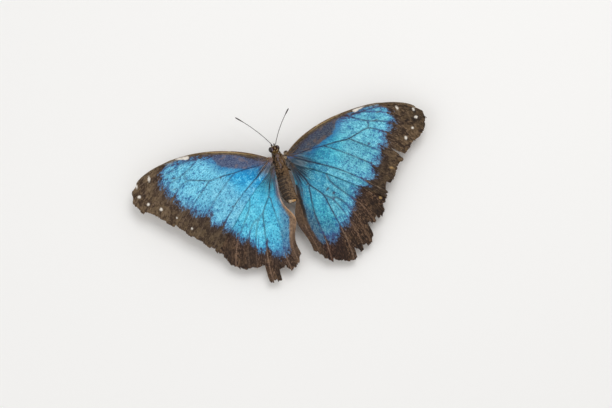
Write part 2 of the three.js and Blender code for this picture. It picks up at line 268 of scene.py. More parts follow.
right = Vector((1, 0, 0))
up = Vector((0, math.sin(CAMERA_HEIGHT_ANGLE), math.cos(CAMERA_HEIGHT_ANGLE)))
ahead = Vector((0, math.cos(CAMERA_HEIGHT_ANGLE), -math.sin(CAMERA_HEIGHT_ANGLE)))
frame_right = right * math.cos(CAMERA_ROLL) - up * math.sin(CAMERA_ROLL)
frame_up = right * math.sin(CAMERA_ROLL) + up * math.cos(CAMERA_ROLL)
aim = Vector(to_metres(HINGES_MIDDLE)) + (frame_right * AIM_RIGHT - frame_up * AIM_DOWN) * MM

bpy.ops.object.camera_add()
camera = bpy.context.object
camera.name = "camera"
camera.data.lens = CAMERA_LENS
camera.data.sensor_width = SENSOR_WIDTH
camera.data.clip_start = 0.01
camera.data.clip_end = 10
turned = Matrix((frame_right, frame_up, -ahead)).transposed()
camera.matrix_world = Matrix.Translation(aim - ahead * CAMERA_DISTANCE) @ turned.to_4x4()
scene.camera = camera


# ---- wings ----------------------------------------------------------------------------------
# Each wing is a thin, stiff membrane stretched between veins that fan out from its hinge.  The
# upper side carries blue scales inside a brown border; the outer edges are torn and frayed.

WING_ARCH = 1.7
WING_SPAN_OF_ARCH = 66.0
TIP_DROOP = 0.06
HIND_DROOP = 0.07
MIDDLE_HINGE = (3.4, -1.0)
ROOT_RADIUS = 0.1
REARWARD = math.radians(65)    # the direction from which the hind wings' droop is full
SCALLOP_DEPTH = 0.55
MEMBRANE = 0.2
TEAR_EDGE = 0.05

# How fast the shoulder, the fills and the fold fade, and the strips and shares they lie in.
SHOULDER_POWER = 4
FILL_POWER = 8
FOLD_POWER = 8
REAR_STRIP = (7.6, 8.0)
FRONT_STRIP = (0.8, 0.0)
INNER_FILL_OUT = 0.3

# The membrane's own unevenness, in mm: it sags between two veins and waves all over, except near
# the root, it curls at the edge, and it is pleated at the root.
SAG = 0.22
WAVE = 0.22
FLAT_ROOT = (0.12, 0.62)    # the shares out over which sag and wave set in
CURL = 0.5
CURLS = 2.3                 # in each cell
CURL_FROM = 0.72
PLEAT = 0.16
PLEATED = (0.12, 0.13)      # the share out at the middle of the pleats, and how far they reach

# A place on a wing is counted in cells along its outer edge (0 is the first vein's end, 1 the
# second's) and as a share of the way out from the root.  The tables run over the nine vein ends:
# their angle, 0 straight out sideways, and their distance from the hinge.
FOREWING = {
    "level": 0.3,
    "angle": [10.4, 6.8, 2.6, -2.8, -9.0, -17.5, -28.0, -38.0, -41.2],
    "reach": [57.9, 60.4, 61.1, 58.5, 53.0, 49.0, 46.2, 45.3, 45.4],
    "front_bow": (25.4, 0.75),
    "rear_bow": (-2.0, 1.0),
    "ray_bend": (3.0, 1.5),
}
HINDWING = {
    "level": -0.3,
    "angle": [-33.0, -38.5, -47.5, -57.0, -64.0, -71.0, -78.5, -85.0, -87.5],
    "reach": [43.6, 44.8, 46.2, 48.0, 49.2, 50.0, 47.4, 41.4, 38.3],
    "front_bow": (22.0, 0.8),
    "rear_bow": (13.0, 1.0),
    "ray_bend": (0.0, 1.0),
}

# How each wing lies and is worn: a tear is (from, to, depth at each), the fold is the flap beside
# the abdomen, and blue_to is the share of the way out at which the blue ends at each place.  The
# fills close the gap that the front and hind wing would leave between them beside the body.
WINGS = {
    "forewing_left": {
        "shape": FOREWING, "side": -1, "hinge": (3.6, 0.4), "turn": (0.0, 0.0), "shoulder": 4,
        "tears": [(3.1, 4.25, 0.9, 0.5), (4.8, 5.35, 1.2, 0.6), (5.8, 6.35, 0.7, 0.5),
                  (6.86, 7.3, 1.1, 0.8)],
        "fray": 0.35, "rear_fill": 60,
        "blue_to": [(0, 0.70), (1.3, 0.72), (2.0, 0.775), (2.35, 0.775), (2.6, 0.81), (3.0, 0.815),
                    (3.2, 0.80), (3.4, 0.83), (3.7, 0.835), (3.95, 0.835), (4.08, 0.82),
                    (4.3, 0.845), (4.7, 0.84), (4.95, 0.82), (5.07, 0.81), (5.25, 0.835),
                    (5.7, 0.81), (5.95, 0.79), (6.05, 0.755), (6.2, 0.74), (6.35, 0.81),
                    (6.6, 0.80), (6.8, 0.77), (6.92, 0.73), (7.05, 0.785), (7.5, 0.785), (8, 0.76)],
        "seed": 3,
    },
    "forewing_right": {
        "shape": FOREWING, "side": 1, "hinge": (3.5, -0.3), "turn": (-8.8, -2.0), "shoulder": 13,
        "tears": [(1.9, 2.3, 0.6, 0.4), (3.7, 4.1, 0.5, 0.4), (4.64, 4.86, 2.2, 2.0),
                  (4.7, 4.78, 5.6, 4.6), (5.12, 5.4, 0.6, 0.5), (6.44, 6.92, 1.5, 1.0)],
        "fray": 0.5, "rear_fill": 60,
        "blue_to": [(0, 0.70), (1.9, 0.73), (2.3, 0.785), (2.45, 0.79), (2.6, 0.765), (2.8, 0.80),
                    (3.1, 0.83), (3.33, 0.82), (3.5, 0.83), (3.9, 0.82), (4.12, 0.80),
                    (4.35, 0.83), (4.6, 0.84), (4.9, 0.82), (5.07, 0.805), (5.3, 0.84),
                    (5.6, 0.835), (5.95, 0.82), (6.1, 0.80), (6.3, 0.84), (6.55, 0.84),
                    (6.75, 0.81), (6.92, 0.755), (7.1, 0.83), (7.4, 0.84), (7.6, 0.81), (8, 0.72)],
        "seed": 8,
    },
    "hindwing_left": {
        "shape": HINDWING, "side": -1, "hinge": (3.1, -3.2), "turn": (0.0, 0.0), "shoulder": 0,
        "tears": [(0, 0.6, 1.8, 1.2), (0.6, 1.4, 1.0, 2.6), (1.4, 2.6, 1.4, 1.6),
                  (2.6, 4.62, 2.3, 8.2), (4.62, 5.5, 1.5, 1.1), (5.0, 5.22, 2.4, 2.5),
                  (5.54, 6.06, 5.2, 5.6), (6.06, 6.24, 4.4, 2.4), (6.24, 6.5, 1.2, 0.6)],
        "fray": 0.7, "front_fill": 40, "inner_fill": 7,
        "fold": {"swing": 10.5, "place": 0.59, "spread": 0.16, "drop": 1.2},
        "blue_to": [(0, 0.77), (0.5, 0.76), (1.0, 0.74), (1.5, 0.72), (2.0, 0.70), (2.25, 0.72),
                    (2.5, 0.735), (2.75, 0.715), (3.0, 0.67), (3.2, 0.66), (3.35, 0.70),
                    (3.6, 0.715), (3.8, 0.70), (4.0, 0.73), (4.4, 0.735), (4.7, 0.73),
                    (4.87, 0.69), (5.0, 0.655), (5.1, 0.70), (5.3, 0.75), (5.6, 0.77),
                    (5.9, 0.79), (6.2, 0.81), (6.5, 0.82), (7.0, 0.84), (8, 0.72)],
        "inner": [(0.16, 8.4), (0.22, 8.0), (0.28, 7.75), (0.36, 7.8), (0.45, 7.6), (0.53, 7.3),
                  (0.57, 6.97), (0.62, 6.82), (0.72, 6.75), (1.0, 6.8)],
        "seed": 14,
    },
    "hindwing_right": {
        "shape": HINDWING, "side": 1, "hinge": (3.0, -3.9), "turn": (-5.0, -5.0), "shoulder": 0,
        "tears": [(0.8, 1.2, 0.9, 1.6), (1.74, 2.56, 1.2, 3.2), (2.04, 2.22, 3.5, 3.3),
                  (2.56, 2.8, 4.8, 5.6), (2.8, 3.1, 1.3, 0.9), (3.62, 4.02, 1.3, 3.3),
                  (4.02, 4.34, 1.4, 1.4), (4.34, 4.68, 2.2, 4.8), (4.68, 5.6, 1.0, 1.0),
                  (5.6, 6.2, 1.6, 2.0), (6.8, 7.4, 1.1, 0.7)],
        "fray": 0.7, "front_fill": 40, "inner_fill": 7,
        "fold": {"swing": 15.4, "place": 0.55, "spread": 0.28, "drop": 1.6},
        "blue_to": [(0, 0.77), (0.6, 0.79), (0.9, 0.77), (1.1, 0.735), (1.3, 0.70), (1.6, 0.70),
                    (1.9, 0.69), (2.2, 0.68), (2.5, 0.69), (2.8, 0.685), (3.1, 0.68), (3.3, 0.69),
                    (3.5, 0.71), (4.0, 0.725), (4.4, 0.72), (4.7, 0.71), (4.95, 0.69),
                    (5.2, 0.74), (5.5, 0.77), (5.8, 0.79), (6.05, 0.79), (6.18, 0.74),
                    (6.35, 0.82), (6.6, 0.82), (7.0, 0.78), (8, 0.70)],
        "inner": [(0.18, 8.4), (0.24, 8.0), (0.30, 7.7), (0.36, 7.4), (0.40, 7.1), (0.45, 6.95),
                  (0.5, 6.85), (0.7, 6.75), (1.0, 6.6)],
        "seed": 21,
    },
}


def ramp(value, start, end):
    """0 up to start and 1 from end on, or the other way round where end is the lower."""
    return np.clip((value - start) / (end - start), 0, 1)


def eased(t):
    """0 to 1 turned into a soft rise from 0 to 1."""
    return t * t * (3 - 2 * t)


def unit(vectors):
    """Vectors of the same directions and of length 1."""
    return vectors / np.linalg.norm(vectors, axis=-1, keepdims=True)


def table(pairs, value):
    """A reading from a table of pairs, along straight lines between them."""
    return np.interp(value, *zip(*pairs))


def rounded(values, place):
    """A reading between the vein ends along a smooth curve."""
    values = np.array(values)
    last = len(values) - 1
    cell = np.clip(np.floor(place).astype(int), 0, last - 1)
    t = place - cell
    here, there = values[cell], values[cell + 1]
    slope_in = (there - values[np.clip(cell - 1, 0, last)]) / 2
    slope_out = (values[np.clip(cell + 2, 0, last)] - here) / 2
    t2 = t * t
    t3 = t2 * t
    return (here * (2 * t3 - 3 * t2 + 1) + slope_in * (t3 - 2 * t2 + t)
            + there * (3 * t2 - 2 * t3) + slope_out * (t3 - t2))


CHANCES = 4096
FIRST_CHANCE = 100.0    # the one at place 0


def chance(place, seed, closeness):
    """Wandering values from 0 to 1, with closeness new ones in each unit of place."""
    values = np.random.RandomState(seed).rand(CHANCES)
    t = np.asarray(place, float) * closeness + FIRST_CHANCE
    cell = np.floor(t).astype(int)
    part = eased(t - cell)
    return values[cell % CHANCES] * (1 - part) + values[(cell + 1) % CHANCES] * part


def surface_height(x, y):
    """The height of the surface that both wings of a side share."""
    out = np.maximum(np.abs(x) - MIDDLE_HINGE[0], 0.01)
    back = y - MIDDLE_HINGE[1]
    distance = np.hypot(out, back)
    rearward = eased(ramp(-np.arctan2(back, out), 0, REARWARD))
    bow = WING_ARCH * np.sin(np.pi * np.minimum(distance / WING_SPAN_OF_ARCH, 1))
    return HINGE_LEVEL + bow - distance * (TIP_DROOP + HIND_DROOP * rearward)


def ray_angle(wing, place, out):
    """The direction of a point on a wing from its hinge, and how far the fold hangs there."""
    shape = wing["shape"]
    inward = np.maximum(1 - out, 0)
    angles = shape["angle"]
    front = angles[0] + shape["front_bow"][0] * inward ** shape["front_bow"][1]
    front = front + wing["shoulder"] * inward ** SHOULDER_POWER + wing["turn"][0]
    rear = angles[-1] + shape["rear_bow"][0] * inward ** shape["rear_bow"][1] + wing["turn"][1]
    share = (angles[0] - table(enumerate(angles), place)) / (angles[0] - angles[-1])
    fanned = share ** (1 + shape["ray_bend"][0] * inward ** shape["ray_bend"][1])
    angle = front + (rear - front) * fanned
    rear_most = ramp(place, *REAR_STRIP) ** 2
    front_most = ramp(place, *FRONT_STRIP) ** 2
    fill = wing.get("front_fill", 0) * front_most - wing.get("rear_fill", 0) * rear_most
    angle = angle + fill * inward ** FILL_POWER
    inner_fill = wing.get("inner_fill", 0) * rear_most
    angle = angle - inner_fill * np.exp(-((out / INNER_FILL_OUT) ** 2))
    drop = np.zeros_like(angle)
    if "fold" in wing:
        fold = wing["fold"]
        folded = share ** FOLD_POWER
        near = np.exp(-(((out - fold["place"]) / fold["spread"]) ** 2))
        angle = angle - fold["swing"] * folded * near
        drop = fold["drop"] * folded * np.sin(np.pi * np.minimum(out, 1))
    return np.radians(angle), drop


def between_veins(place):
    """0 on a vein's line and 1 midway between two."""
    return np.sin(np.pi * (place - np.floor(place)))


def full_reach(wing, place):
    """How far the unworn wing reaches from its hinge."""
    return rounded(wing["shape"]["reach"], place) - SCALLOP_DEPTH * between_veins(place) ** 2


def wing_point(wing, place, out):
    """The middle of the membrane at a place on the wing."""
    place = np.asarray(place, float)
    out = np.asarray(out, float)
    angle, drop = ray_angle(wing, place, out)
    radius = ROOT_RADIUS + out * (full_reach(wing, place) - ROOT_RADIUS)
    x = wing["hinge"][0] + radius * np.cos(angle)
    y = wing["hinge"][1] + radius * np.sin(angle)
    open_out = ramp(out, *FLAT_ROOT)
    seed = wing["seed"]
    sag = SAG * between_veins(place) ** 2 * open_out
    wave = WAVE * np.sin(0.23 * x + 0.31 * y + seed) * open_out
    curl = CURL * (chance(place, seed + 5, CURLS) - 0.5) * ramp(out, CURL_FROM, 1.0) ** 2
    pleated = np.exp(-((out - PLEATED[0]) / PLEATED[1]) ** 2)
    pleat = PLEAT * np.sin(place * 9.0 + seed) * pleated
    z = surface_height(x, y) + wing["shape"]["level"] - drop - sag + wave + curl + pleat
    return np.stack([wing["side"] * x, y, z], -1)


# The fraying of an edge: how many notches and slits each cell may have, how rare the slits are
# and how much deeper they are than the notches.
FINE_NOTCHES = 26
BROAD_NOTCHES = 9
SLITS = 15
SLIT_RARITY = 0.72
SLIT_DEPTH = 5
UNFRAYED = 0.45    # how much of the notches is taken back, so that some teeth stand out


def worn_away(wing, place):
    """How many millimetres the edge has lost, in torn pieces and in fine fraying."""
    depth = np.zeros_like(place)
    for start, end, first, second in wing["tears"]:
        outside = np.maximum(np.maximum(start - place, place - end), 0)
        torn = first + (second - first) * ramp(place, start, end)
        depth = np.maximum(depth, torn * ramp(outside, TEAR_EDGE, 0))
    seed = wing["seed"]
    fine = (chance(place, seed, FINE_NOTCHES) + chance(place, seed + 1, BROAD_NOTCHES)) / 2
    slits = np.maximum(chance(place, seed + 2, SLITS) - SLIT_RARITY, 0) * SLIT_DEPTH
    return depth + wing["fray"] * (fine - UNFRAYED + slits * chance(place, seed + 3, 2))


# The veins of each kind of wing, by the places they pass; then their thickness at the start and at
# the end in mm, and how dark they stand out of the blue.
FOREWING_VEINS = [
    ([(6.5, 0.04), (5.9, 0.09), (5.0, 0.18), (4.0, 0.26), (3.35, 0.31), (3.05, 0.38),
      (2.95, 0.46), (2.9, 0.545), (2.5, 0.62), (2.05, 0.70), (1.85, 0.78), (1.4, 0.90),
      (1.1, 0.985)], 0.4, 0.16, 0.8),
    ([(3.05, 0.53), (3.35, 0.58), (3.52, 0.64), (3.48, 0.71), (3.33, 0.78), (3.32, 0.86),
      (3.2, 0.985)], 0.28, 0.16, 0.8),
    ([(2.8, 0.56), (2.6, 0.62), (2.58, 0.69), (2.5, 0.77), (2.35, 0.88), (2.15, 0.985)],
     0.24, 0.16, 0.5),
    ([(7.1, 0.02), (6.8, 0.08), (6.5, 0.14), (6.15, 0.25), (5.9, 0.35), (5.55, 0.455),
      (5.2, 0.56), (4.65, 0.63), (4.15, 0.69), (4.05, 0.78), (4.1, 0.88), (4.0, 0.985)],
     0.46, 0.16, 1.0),
    ([(3.52, 0.665), (3.8, 0.685), (4.15, 0.69)], 0.18, 0.18, 0.5),
    ([(5.2, 0.56), (5.25, 0.66), (5.2, 0.78), (5.1, 0.9), (5.0, 0.985)], 0.26, 0.16, 0.7),
    ([(5.92, 0.345), (6.02, 0.45), (6.05, 0.6), (6.0, 0.75), (6.05, 0.88), (6.0, 0.985)],
     0.28, 0.16, 0.9),
    ([(7.6, 0.04), (7.5, 0.17), (7.25, 0.3), (7.0, 0.45), (6.95, 0.6), (6.93, 0.75),
      (6.95, 0.9), (7.0, 0.985)], 0.4, 0.2, 0.8),
]
HINDWING_VEINS = [
    ([(4.2, 0.04), (4.8, 0.13), (5.05, 0.2), (5.1, 0.255), (4.65, 0.34), (4.45, 0.41),
      (4.7, 0.5), (4.85, 0.6), (4.9, 0.72), (4.95, 0.87), (5.0, 0.985)], 0.4, 0.22, 0.9),
    ([(5.1, 0.255), (5.6, 0.285), (6.0, 0.37), (6.17, 0.47), (6.2, 0.6), (6.2, 0.75),
      (6.3, 0.9), (6.3, 0.985)], 0.3, 0.22, 0.7),
    ([(4.45, 0.405), (4.0, 0.46), (3.85, 0.55), (3.9, 0.7), (3.95, 0.85), (4.0, 0.985)],
     0.18, 0.2, 0.35),
    ([(4.0, 0.46), (3.45, 0.51), (3.15, 0.59), (3.12, 0.75), (3.3, 0.9), (3.2, 0.985)],
     0.18, 0.2, 0.4),
    ([(2.35, 0.42), (2.45, 0.48), (2.42, 0.6), (2.28, 0.75), (2.3, 0.9), (2.3, 0.985)],
     0.2, 0.22, 0.5),
    ([(2.35, 0.42), (2.05, 0.38), (1.65, 0.37), (1.35, 0.43), (1.25, 0.55), (1.2, 0.72),
      (1.15, 0.985)], 0.2, 0.2, 0.5),
    ([(6.0, 0.06), (6.6, 0.2), (6.95, 0.4), (7.0, 0.6), (7.0, 0.8), (7.0, 0.985)],
     0.26, 0.18, 0.5),
]
FOREWING["veins"] = FOREWING_VEINS
HINDWING["veins"] = HINDWING_VEINS


def smooth_route(points, steps=9):
    """Points along a smooth curve through the given ones, with steps between two of them."""
    points = np.array(points, float)
    ends = 2 * points[0] - points[1], 2 * points[-1] - points[-2]
    knots = np.vstack([ends[0], points, ends[1]])[:, None]
    before, here, there, after = (knots[i:len(points) - 1 + i] for i in range(4))
    t = np.linspace(0, 1, steps, endpoint=False)[:, None]
    curve = here + (there - before) * t / 2
    curve = curve + (before - 2.5 * here + 2 * there - after / 2) * t ** 2
    curve = curve + (3 * here - before - 3 * there + after) * t ** 3 / 2
    return np.vstack([curve.reshape(-1, points.shape[1]), points[-1:]])


VEIN_WIDTH = {-1: 0.85, 1: 1.0}    # the left wings' veins are a little finer
VEIN_END = 0.004                   # the share out by which a vein stops short of a torn edge


def vein_routes(wing):
    """Each vein's places along a smooth curve, cut short where the edge is torn away, with its
    thickness there and its darkness."""
    routes = []
    for index, (points, first, last, dark) in enumerate(wing["shape"]["veins"]):
        route = smooth_route(points)
        left = 1 - worn_away(wing, route[:, 0]) / full_reach(wing, route[:, 0])
        uneven = 0.75 + 0.5 * chance(np.linspace(0, 9, len(route)), wing["seed"] + index, 2)
        width = np.linspace(first, last, len(route)) * uneven * VEIN_WIDTH[wing["side"]]
        kept = route[:, 1] < left - VEIN_END
        routes.append((route[kept], width[kept], dark))
    return routes


FROM_ABOVE = (1, 1, 0)


def find_nearest(points, marks):
    """The number of the mark nearest to each point, and its distance."""
    tree = KDTree(len(marks))
    for i, mark in enumerate(marks):
        tree.insert(mark, i)
    tree.balance()
    found = [tree.find(point) for point in points]
    return [hit[1] for hit in found], np.array([hit[2] for hit in found])


# White spots of the upper side: place, share out, half length outwards and half width, in mm.
# Dark flecks are given in the same way.
WINGS["forewing_left"]["spots"] = [
    (1.75, 0.593, 1.5, 1.0), (1.3, 0.637, 1.9, 0.55), (1.55, 0.862, 0.5, 1.15),
    (0.95, 0.962, 0.5, 0.9), (2.14, 0.950, 0.65, 0.6), (3.02, 0.940, 0.6, 0.6),
    (3.77, 0.936, 0.6, 0.7), (4.68, 0.932, 0.3, 0.35), (5.57, 0.940, 0.45, 0.4),
]
WINGS["forewing_right"]["spots"] = [
    (1.75, 0.577, 1.6, 0.95), (1.4, 0.615, 1.9, 0.5), (1.8, 0.832, 0.45, 0.9),
    (1.3, 0.942, 0.45, 0.7), (2.24, 0.940, 0.65, 0.6), (3.12, 0.938, 0.5, 0.5),
    (3.8, 0.942, 0.5, 0.75), (5.6, 0.955, 0.9, 0.4),
]
WINGS["forewing_left"]["flecks"] = [
    (2.75, 0.535, 0.6, 0.85), (6.22, 0.742, 0.7, 0.8), (5.55, 0.475, 0.4, 0.4),
    (6.9, 0.56, 0.5, 0.3), (3.28, 0.73, 0.8, 0.4),
    (3.85, 0.785, 0.9, 0.25), (2.9, 0.765, 0.8, 0.25),
]
WINGS["forewing_right"]["flecks"] = [
    (2.75, 0.512, 0.6, 0.9), (5.95, 0.775, 0.55, 0.5), (4.9, 0.79, 0.6, 0.3),
    (2.6, 0.72, 1.2, 0.25), (3.38, 0.72, 1.0, 0.3), (5.1, 0.72, 0.7, 0.3),
]
WINGS["hindwing_right"]["spots"] = [(0.94, 0.923, 0.65, 0.5)]
WINGS["hindwing_left"]["flecks"] = [(2.2, 0.69, 0.8, 0.4), (5.0, 0.63, 1.0, 0.4)]
WINGS["hindwing_right"]["flecks"] = [
    (3.2, 0.475, 0.5, 0.7), (3.35, 0.412, 0.45, 0.9), (3.75, 0.50, 0.3, 0.6),
    (6.2, 0.58, 2.6, 0.3), (5.4, 0.245, 0.4, 0.6),
]

# Ringed spots of the under side: place, share out and radius.
FOREWING["eyespots"] = [(2.3, 0.81, 1.1), (3.6, 0.78, 1.6), (5.5, 0.70, 3.0)]
HINDWING["eyespots"] = [(1.45, 0.60, 3.6), (3.2, 0.70, 1.4), (4.6, 0.68, 1.7), (6.0, 0.66, 2.2)]
PUPIL = 0.5

# Where the blue begins beside the front edge, and where the dusky field ends, both by share out.
NEAR_BLUE_FROM = [(0.0, 7.2), (0.05, 6.5), (0.09, 5.9), (0.13, 5.4), (0.18, 4.9), (0.22, 4.4),
                  (0.26, 3.9), (0.31, 3.3), (0.35, 3.05), (0.42, 2.95), (0.50, 2.95),
                  (0.54, 2.7)]
WINGS["forewing_left"]["blue_from"] = NEAR_BLUE_FROM + [
    (0.57, 2.3), (0.60, 1.9), (0.66, 1.2), (0.72, 1.1), (0.78, 1.6), (1.0, 1.5)]
WINGS["forewing_right"]["blue_from"] = NEAR_BLUE_FROM + [
    (0.57, 2.4), (0.60, 2.0), (0.66, 1.6), (0.72, 1.6), (0.80, 1.8), (1.0, 1.5)]
DUSKY_TO = [(2.5, 0.46), (3.1, 0.455), (4.0, 0.455), (4.5, 0.45), (5.0, 0.43), (5.3, 0.385),
            (5.6, 0.335), (5.9, 0.285), (6.2, 0.235), (6.8, 0.18), (7.4, 0.1)]
CELL_VEIN = [(0.035, 7.1), (0.14, 6.5), (0.35, 5.9), (0.455, 5.55), (0.56, 5.2)]
LAST_PLACE = 8.0
FAR = 9.0    # mm, for what a wing doesn't have


def nearest_mark(wing, marks, points):
    """How near each point is to one of the oval marks: below 0 inside it, in mm."""
    found = np.full(len(points), FAR)
    for at, share, length, width in marks:
        centre = wing_point(wing, at, share)[:2]
        away = unit(centre - (wing["side"] * wing["hinge"][0], wing["hinge"][1]))
        offset = points[:, :2] - centre
        along = offset @ away / length
        across = offset @ np.array([-away[1], away[0]]) / width
        found = np.minimum(found, (np.hypot(along, across) - 1) * min(length, width))
    return found


def markings(wing, place, out, points):
    """The distances, in mm, that the wing's colours are worked out from."""
    reach = full_reach(wing, place)
    radius = ROOT_RADIUS + out * (reach - ROOT_RADIUS)
    angle = ray_angle(wing, place, out)[0]
    from_front = (ray_angle(wing, np.zeros_like(place), out)[0] - angle) * radius
    blue = (table(wing["blue_to"], place) - out) * reach
    dusky = np.full_like(place, -FAR)
    inner = np.full_like(place, -FAR)
    if wing["shape"] is FOREWING:
        begin = ray_angle(wing, table(wing["blue_from"], out), out)[0]
        past_begin = (begin - angle) * radius
        blue = np.minimum(blue, past_begin)
        beside_cell = (angle - ray_angle(wing, table(CELL_VEIN, out), out)[0]) * radius
        dusky = np.minimum((table(DUSKY_TO, place) - out) * reach, beside_cell)
    else:
        from_place = table(wing["inner"], out)
        begin = ray_angle(wing, np.minimum(from_place, LAST_PLACE), out)[0]
        inner = np.where(from_place > LAST_PLACE, -FAR, (begin - angle) * radius)
    marks = [wing_point(wing, route[:, 0], route[:, 1]) for route, _, _ in vein_routes(wing)]
    eyespots = wing["shape"]["eyespots"]
    return {
        "place": place, "out": out, "blue": blue, "dusky": dusky, "inner": inner,
        "front": from_front,
        "vein": find_nearest(points * FROM_ABOVE, np.vstack(marks) * FROM_ABOVE)[1],
        "spot": nearest_mark(wing, wing.get("spots", []), points),
        "fleck": nearest_mark(wing, wing["flecks"], points),
        "eyespot": nearest_mark(wing, [(*mark, mark[-1]) for mark in eyespots], points),
        "pupil": nearest_mark(wing, [(*mark[:2], PUPIL, PUPIL) for mark in eyespots], points),
        "right": np.full_like(place, wing["side"] > 0),
        "hind": np.full_like(place, wing["shape"] is HINDWING),
    }


def carry(mesh, name, values):
    """Lets a mesh carry a number at each of its points."""
    layer = mesh.attributes.new(name, "FLOAT", "POINT")
    layer.data.foreach_set("value", np.asarray(values, np.float32))


def read_rows(rows, name, width=1, kind=np.int32):
    """What each of a mesh's points, faces or corners says, as one array."""
    values = np.empty(len(rows) * width, kind)
    rows.foreach_get(name, values)
    return values


def mesh_points(mesh):
    return read_rows(mesh.vertices, "co", 3, np.float32).reshape(-1, 3).astype(float)


def put_points(mesh, points):
    mesh.vertices.foreach_set("co", np.asarray(points, np.float32).ravel())
    mesh.update()


def put_map(layer, corners):
    layer.data.foreach_set("uv", np.asarray(corners, np.float32).ravel())


def edit_all(operator, **settings):
    """Runs an edit mode operator on the whole of the active piece."""
    bpy.ops.object.mode_set(mode="EDIT")
    bpy.ops.mesh.select_all(action="SELECT")
    operator(**settings)
    bpy.ops.object.mode_set(mode="OBJECT")


def dress(piece, material, slot, *nodes):
    """Gives a piece its material, and lets it stand for the named solids.  The slot is not used."""
    piece.data.materials.clear()
    piece.data.materials.append(material)
    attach(piece, "root")
    if nodes:
        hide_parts(*nodes)


# The mesh of a wing: rays from the hinge and rings across them.  The rings lie closer towards the
# edge, and a tear pulls in only the outer ones.
RAYS = 370
RINGS = 116
RING_CROWDING = 1.15
TEAR_PULL = 6
SWEEP_OUT = 0.7      # the share out at which a ray's direction is read for the rows of scales
SWEEP_WIDTH = 0.6    # mm for each degree


def ray_places(wing):
    """Places for the rays, equally far apart along the outer edge."""
    fine = np.linspace(0, LAST_PLACE, 4001)
    edge = wing_point(wing, fine, np.ones_like(fine))
    walked = np.concatenate([[0], np.cumsum(np.linalg.norm(np.diff(edge, axis=0), axis=1))])
    return np.interp(np.linspace(0, walked[-1], RAYS + 1), walked, fine)


SHARP_EDGE = math.radians(50)


def make_wing(name, wing):
    deselect()
    bpy.ops.mesh.primitive_grid_add(x_subdivisions=RAYS, y_subdivisions=RINGS, size=1)
    piece = bpy.context.object
    piece.name = name.replace("wing", "wing_membrane")
    flat = mesh_points(piece.data)
    columns = ray_places(wing)
    place = np.interp(flat[:, 0] + 0.5, np.linspace(0, 1, len(columns)), columns)
    ring = 1 - (0.5 - flat[:, 1]) ** RING_CROWDING
    lost = worn_away(wing, place) / full_reach(wing, place)
    out = ring * (1 - lost * ring ** TEAR_PULL)
    points = wing_point(wing, place, out)
    points[:, 2] += MEMBRANE / 2
    put_points(piece.data, to_metres(points))
    if wing["side"] < 0:
        edit_all(bpy.ops.mesh.flip_normals)
    for label, values in markings(wing, place, out, points).items():
        carry(piece.data, label, values)
    lie = piece.data.uv_layers[0]
    lie.name = "Scales"
    radius = out * full_reach(wing, place)
    sweep = np.degrees(ray_angle(wing, place, np.full_like(place, SWEEP_OUT))[0]) * SWEEP_WIDTH
    corner = read_rows(piece.data.loops, "vertex_index")
    put_map(lie, np.stack([sweep, radius], -1)[corner])
    bpy.ops.object.modifier_add(type="SOLIDIFY")
    thick = piece.modifiers[-1]
    thick.thickness = MEMBRANE * MM
    thick.offset = -1
    bpy.ops.object.modifier_apply(modifier=thick.name)
    under = np.zeros(len(piece.data.vertices))
    under[len(flat):] = 1
    carry(piece.data, "under", under)
    bake_map(piece, under)
    bpy.ops.object.shade_smooth_by_angle(angle=SHARP_EDGE)
    return piece


MAP_SHARE = 0.99    # of a map's width, with the rest left as a rim
MAP_GAP = 0.02


def bake_map(piece, under):
    """A flat map for the wing's own colours, the upper side below and the under side above."""
    mesh = piece.data
    points = mesh_points(mesh)[:, :2]
    low = points.min(0)
    span = points.max(0) - low
    side = max(span[0], span[1] * 2 * (1 + MAP_GAP))
    corner = read_rows(mesh.loops, "vertex_index")
    totals = read_rows(mesh.polygons, "loop_total")
    face = np.repeat(np.arange(len(totals)), totals)
    share_under = np.bincount(face, under[corner]) / totals
    where = ((points - low) / side * MAP_SHARE + (1 - MAP_SHARE) / 2)[corner]
    where[:, 1] += 0.5 * (share_under[face] > 0.99)
    put_map(mesh.uv_layers.new(name="OFBake"), where)


def tint(*parts):
    """A layer of paint that makes each part of the colour under it weaker or stronger."""
    return lambda colour: colour.tinted(*parts)


def painted(colour, *layers):
    """Lays colours, or tints, over a colour in turn, each where its mask is 1."""
    for mask, over in layers:
        colour = mask.mix(colour, over(colour) if callable(over) else over)
    return colour


BLACK = (0, 0, 0)

# Pale bands of the under side: share of the way out, half width of its soft edge and of the band.
PALE_BANDS = [(0.30, 0.018, 0.004), (0.46, 0.016, 0.004), (0.92, 0.012, 0.003),
              (0.965, 0.01, 0.003)]


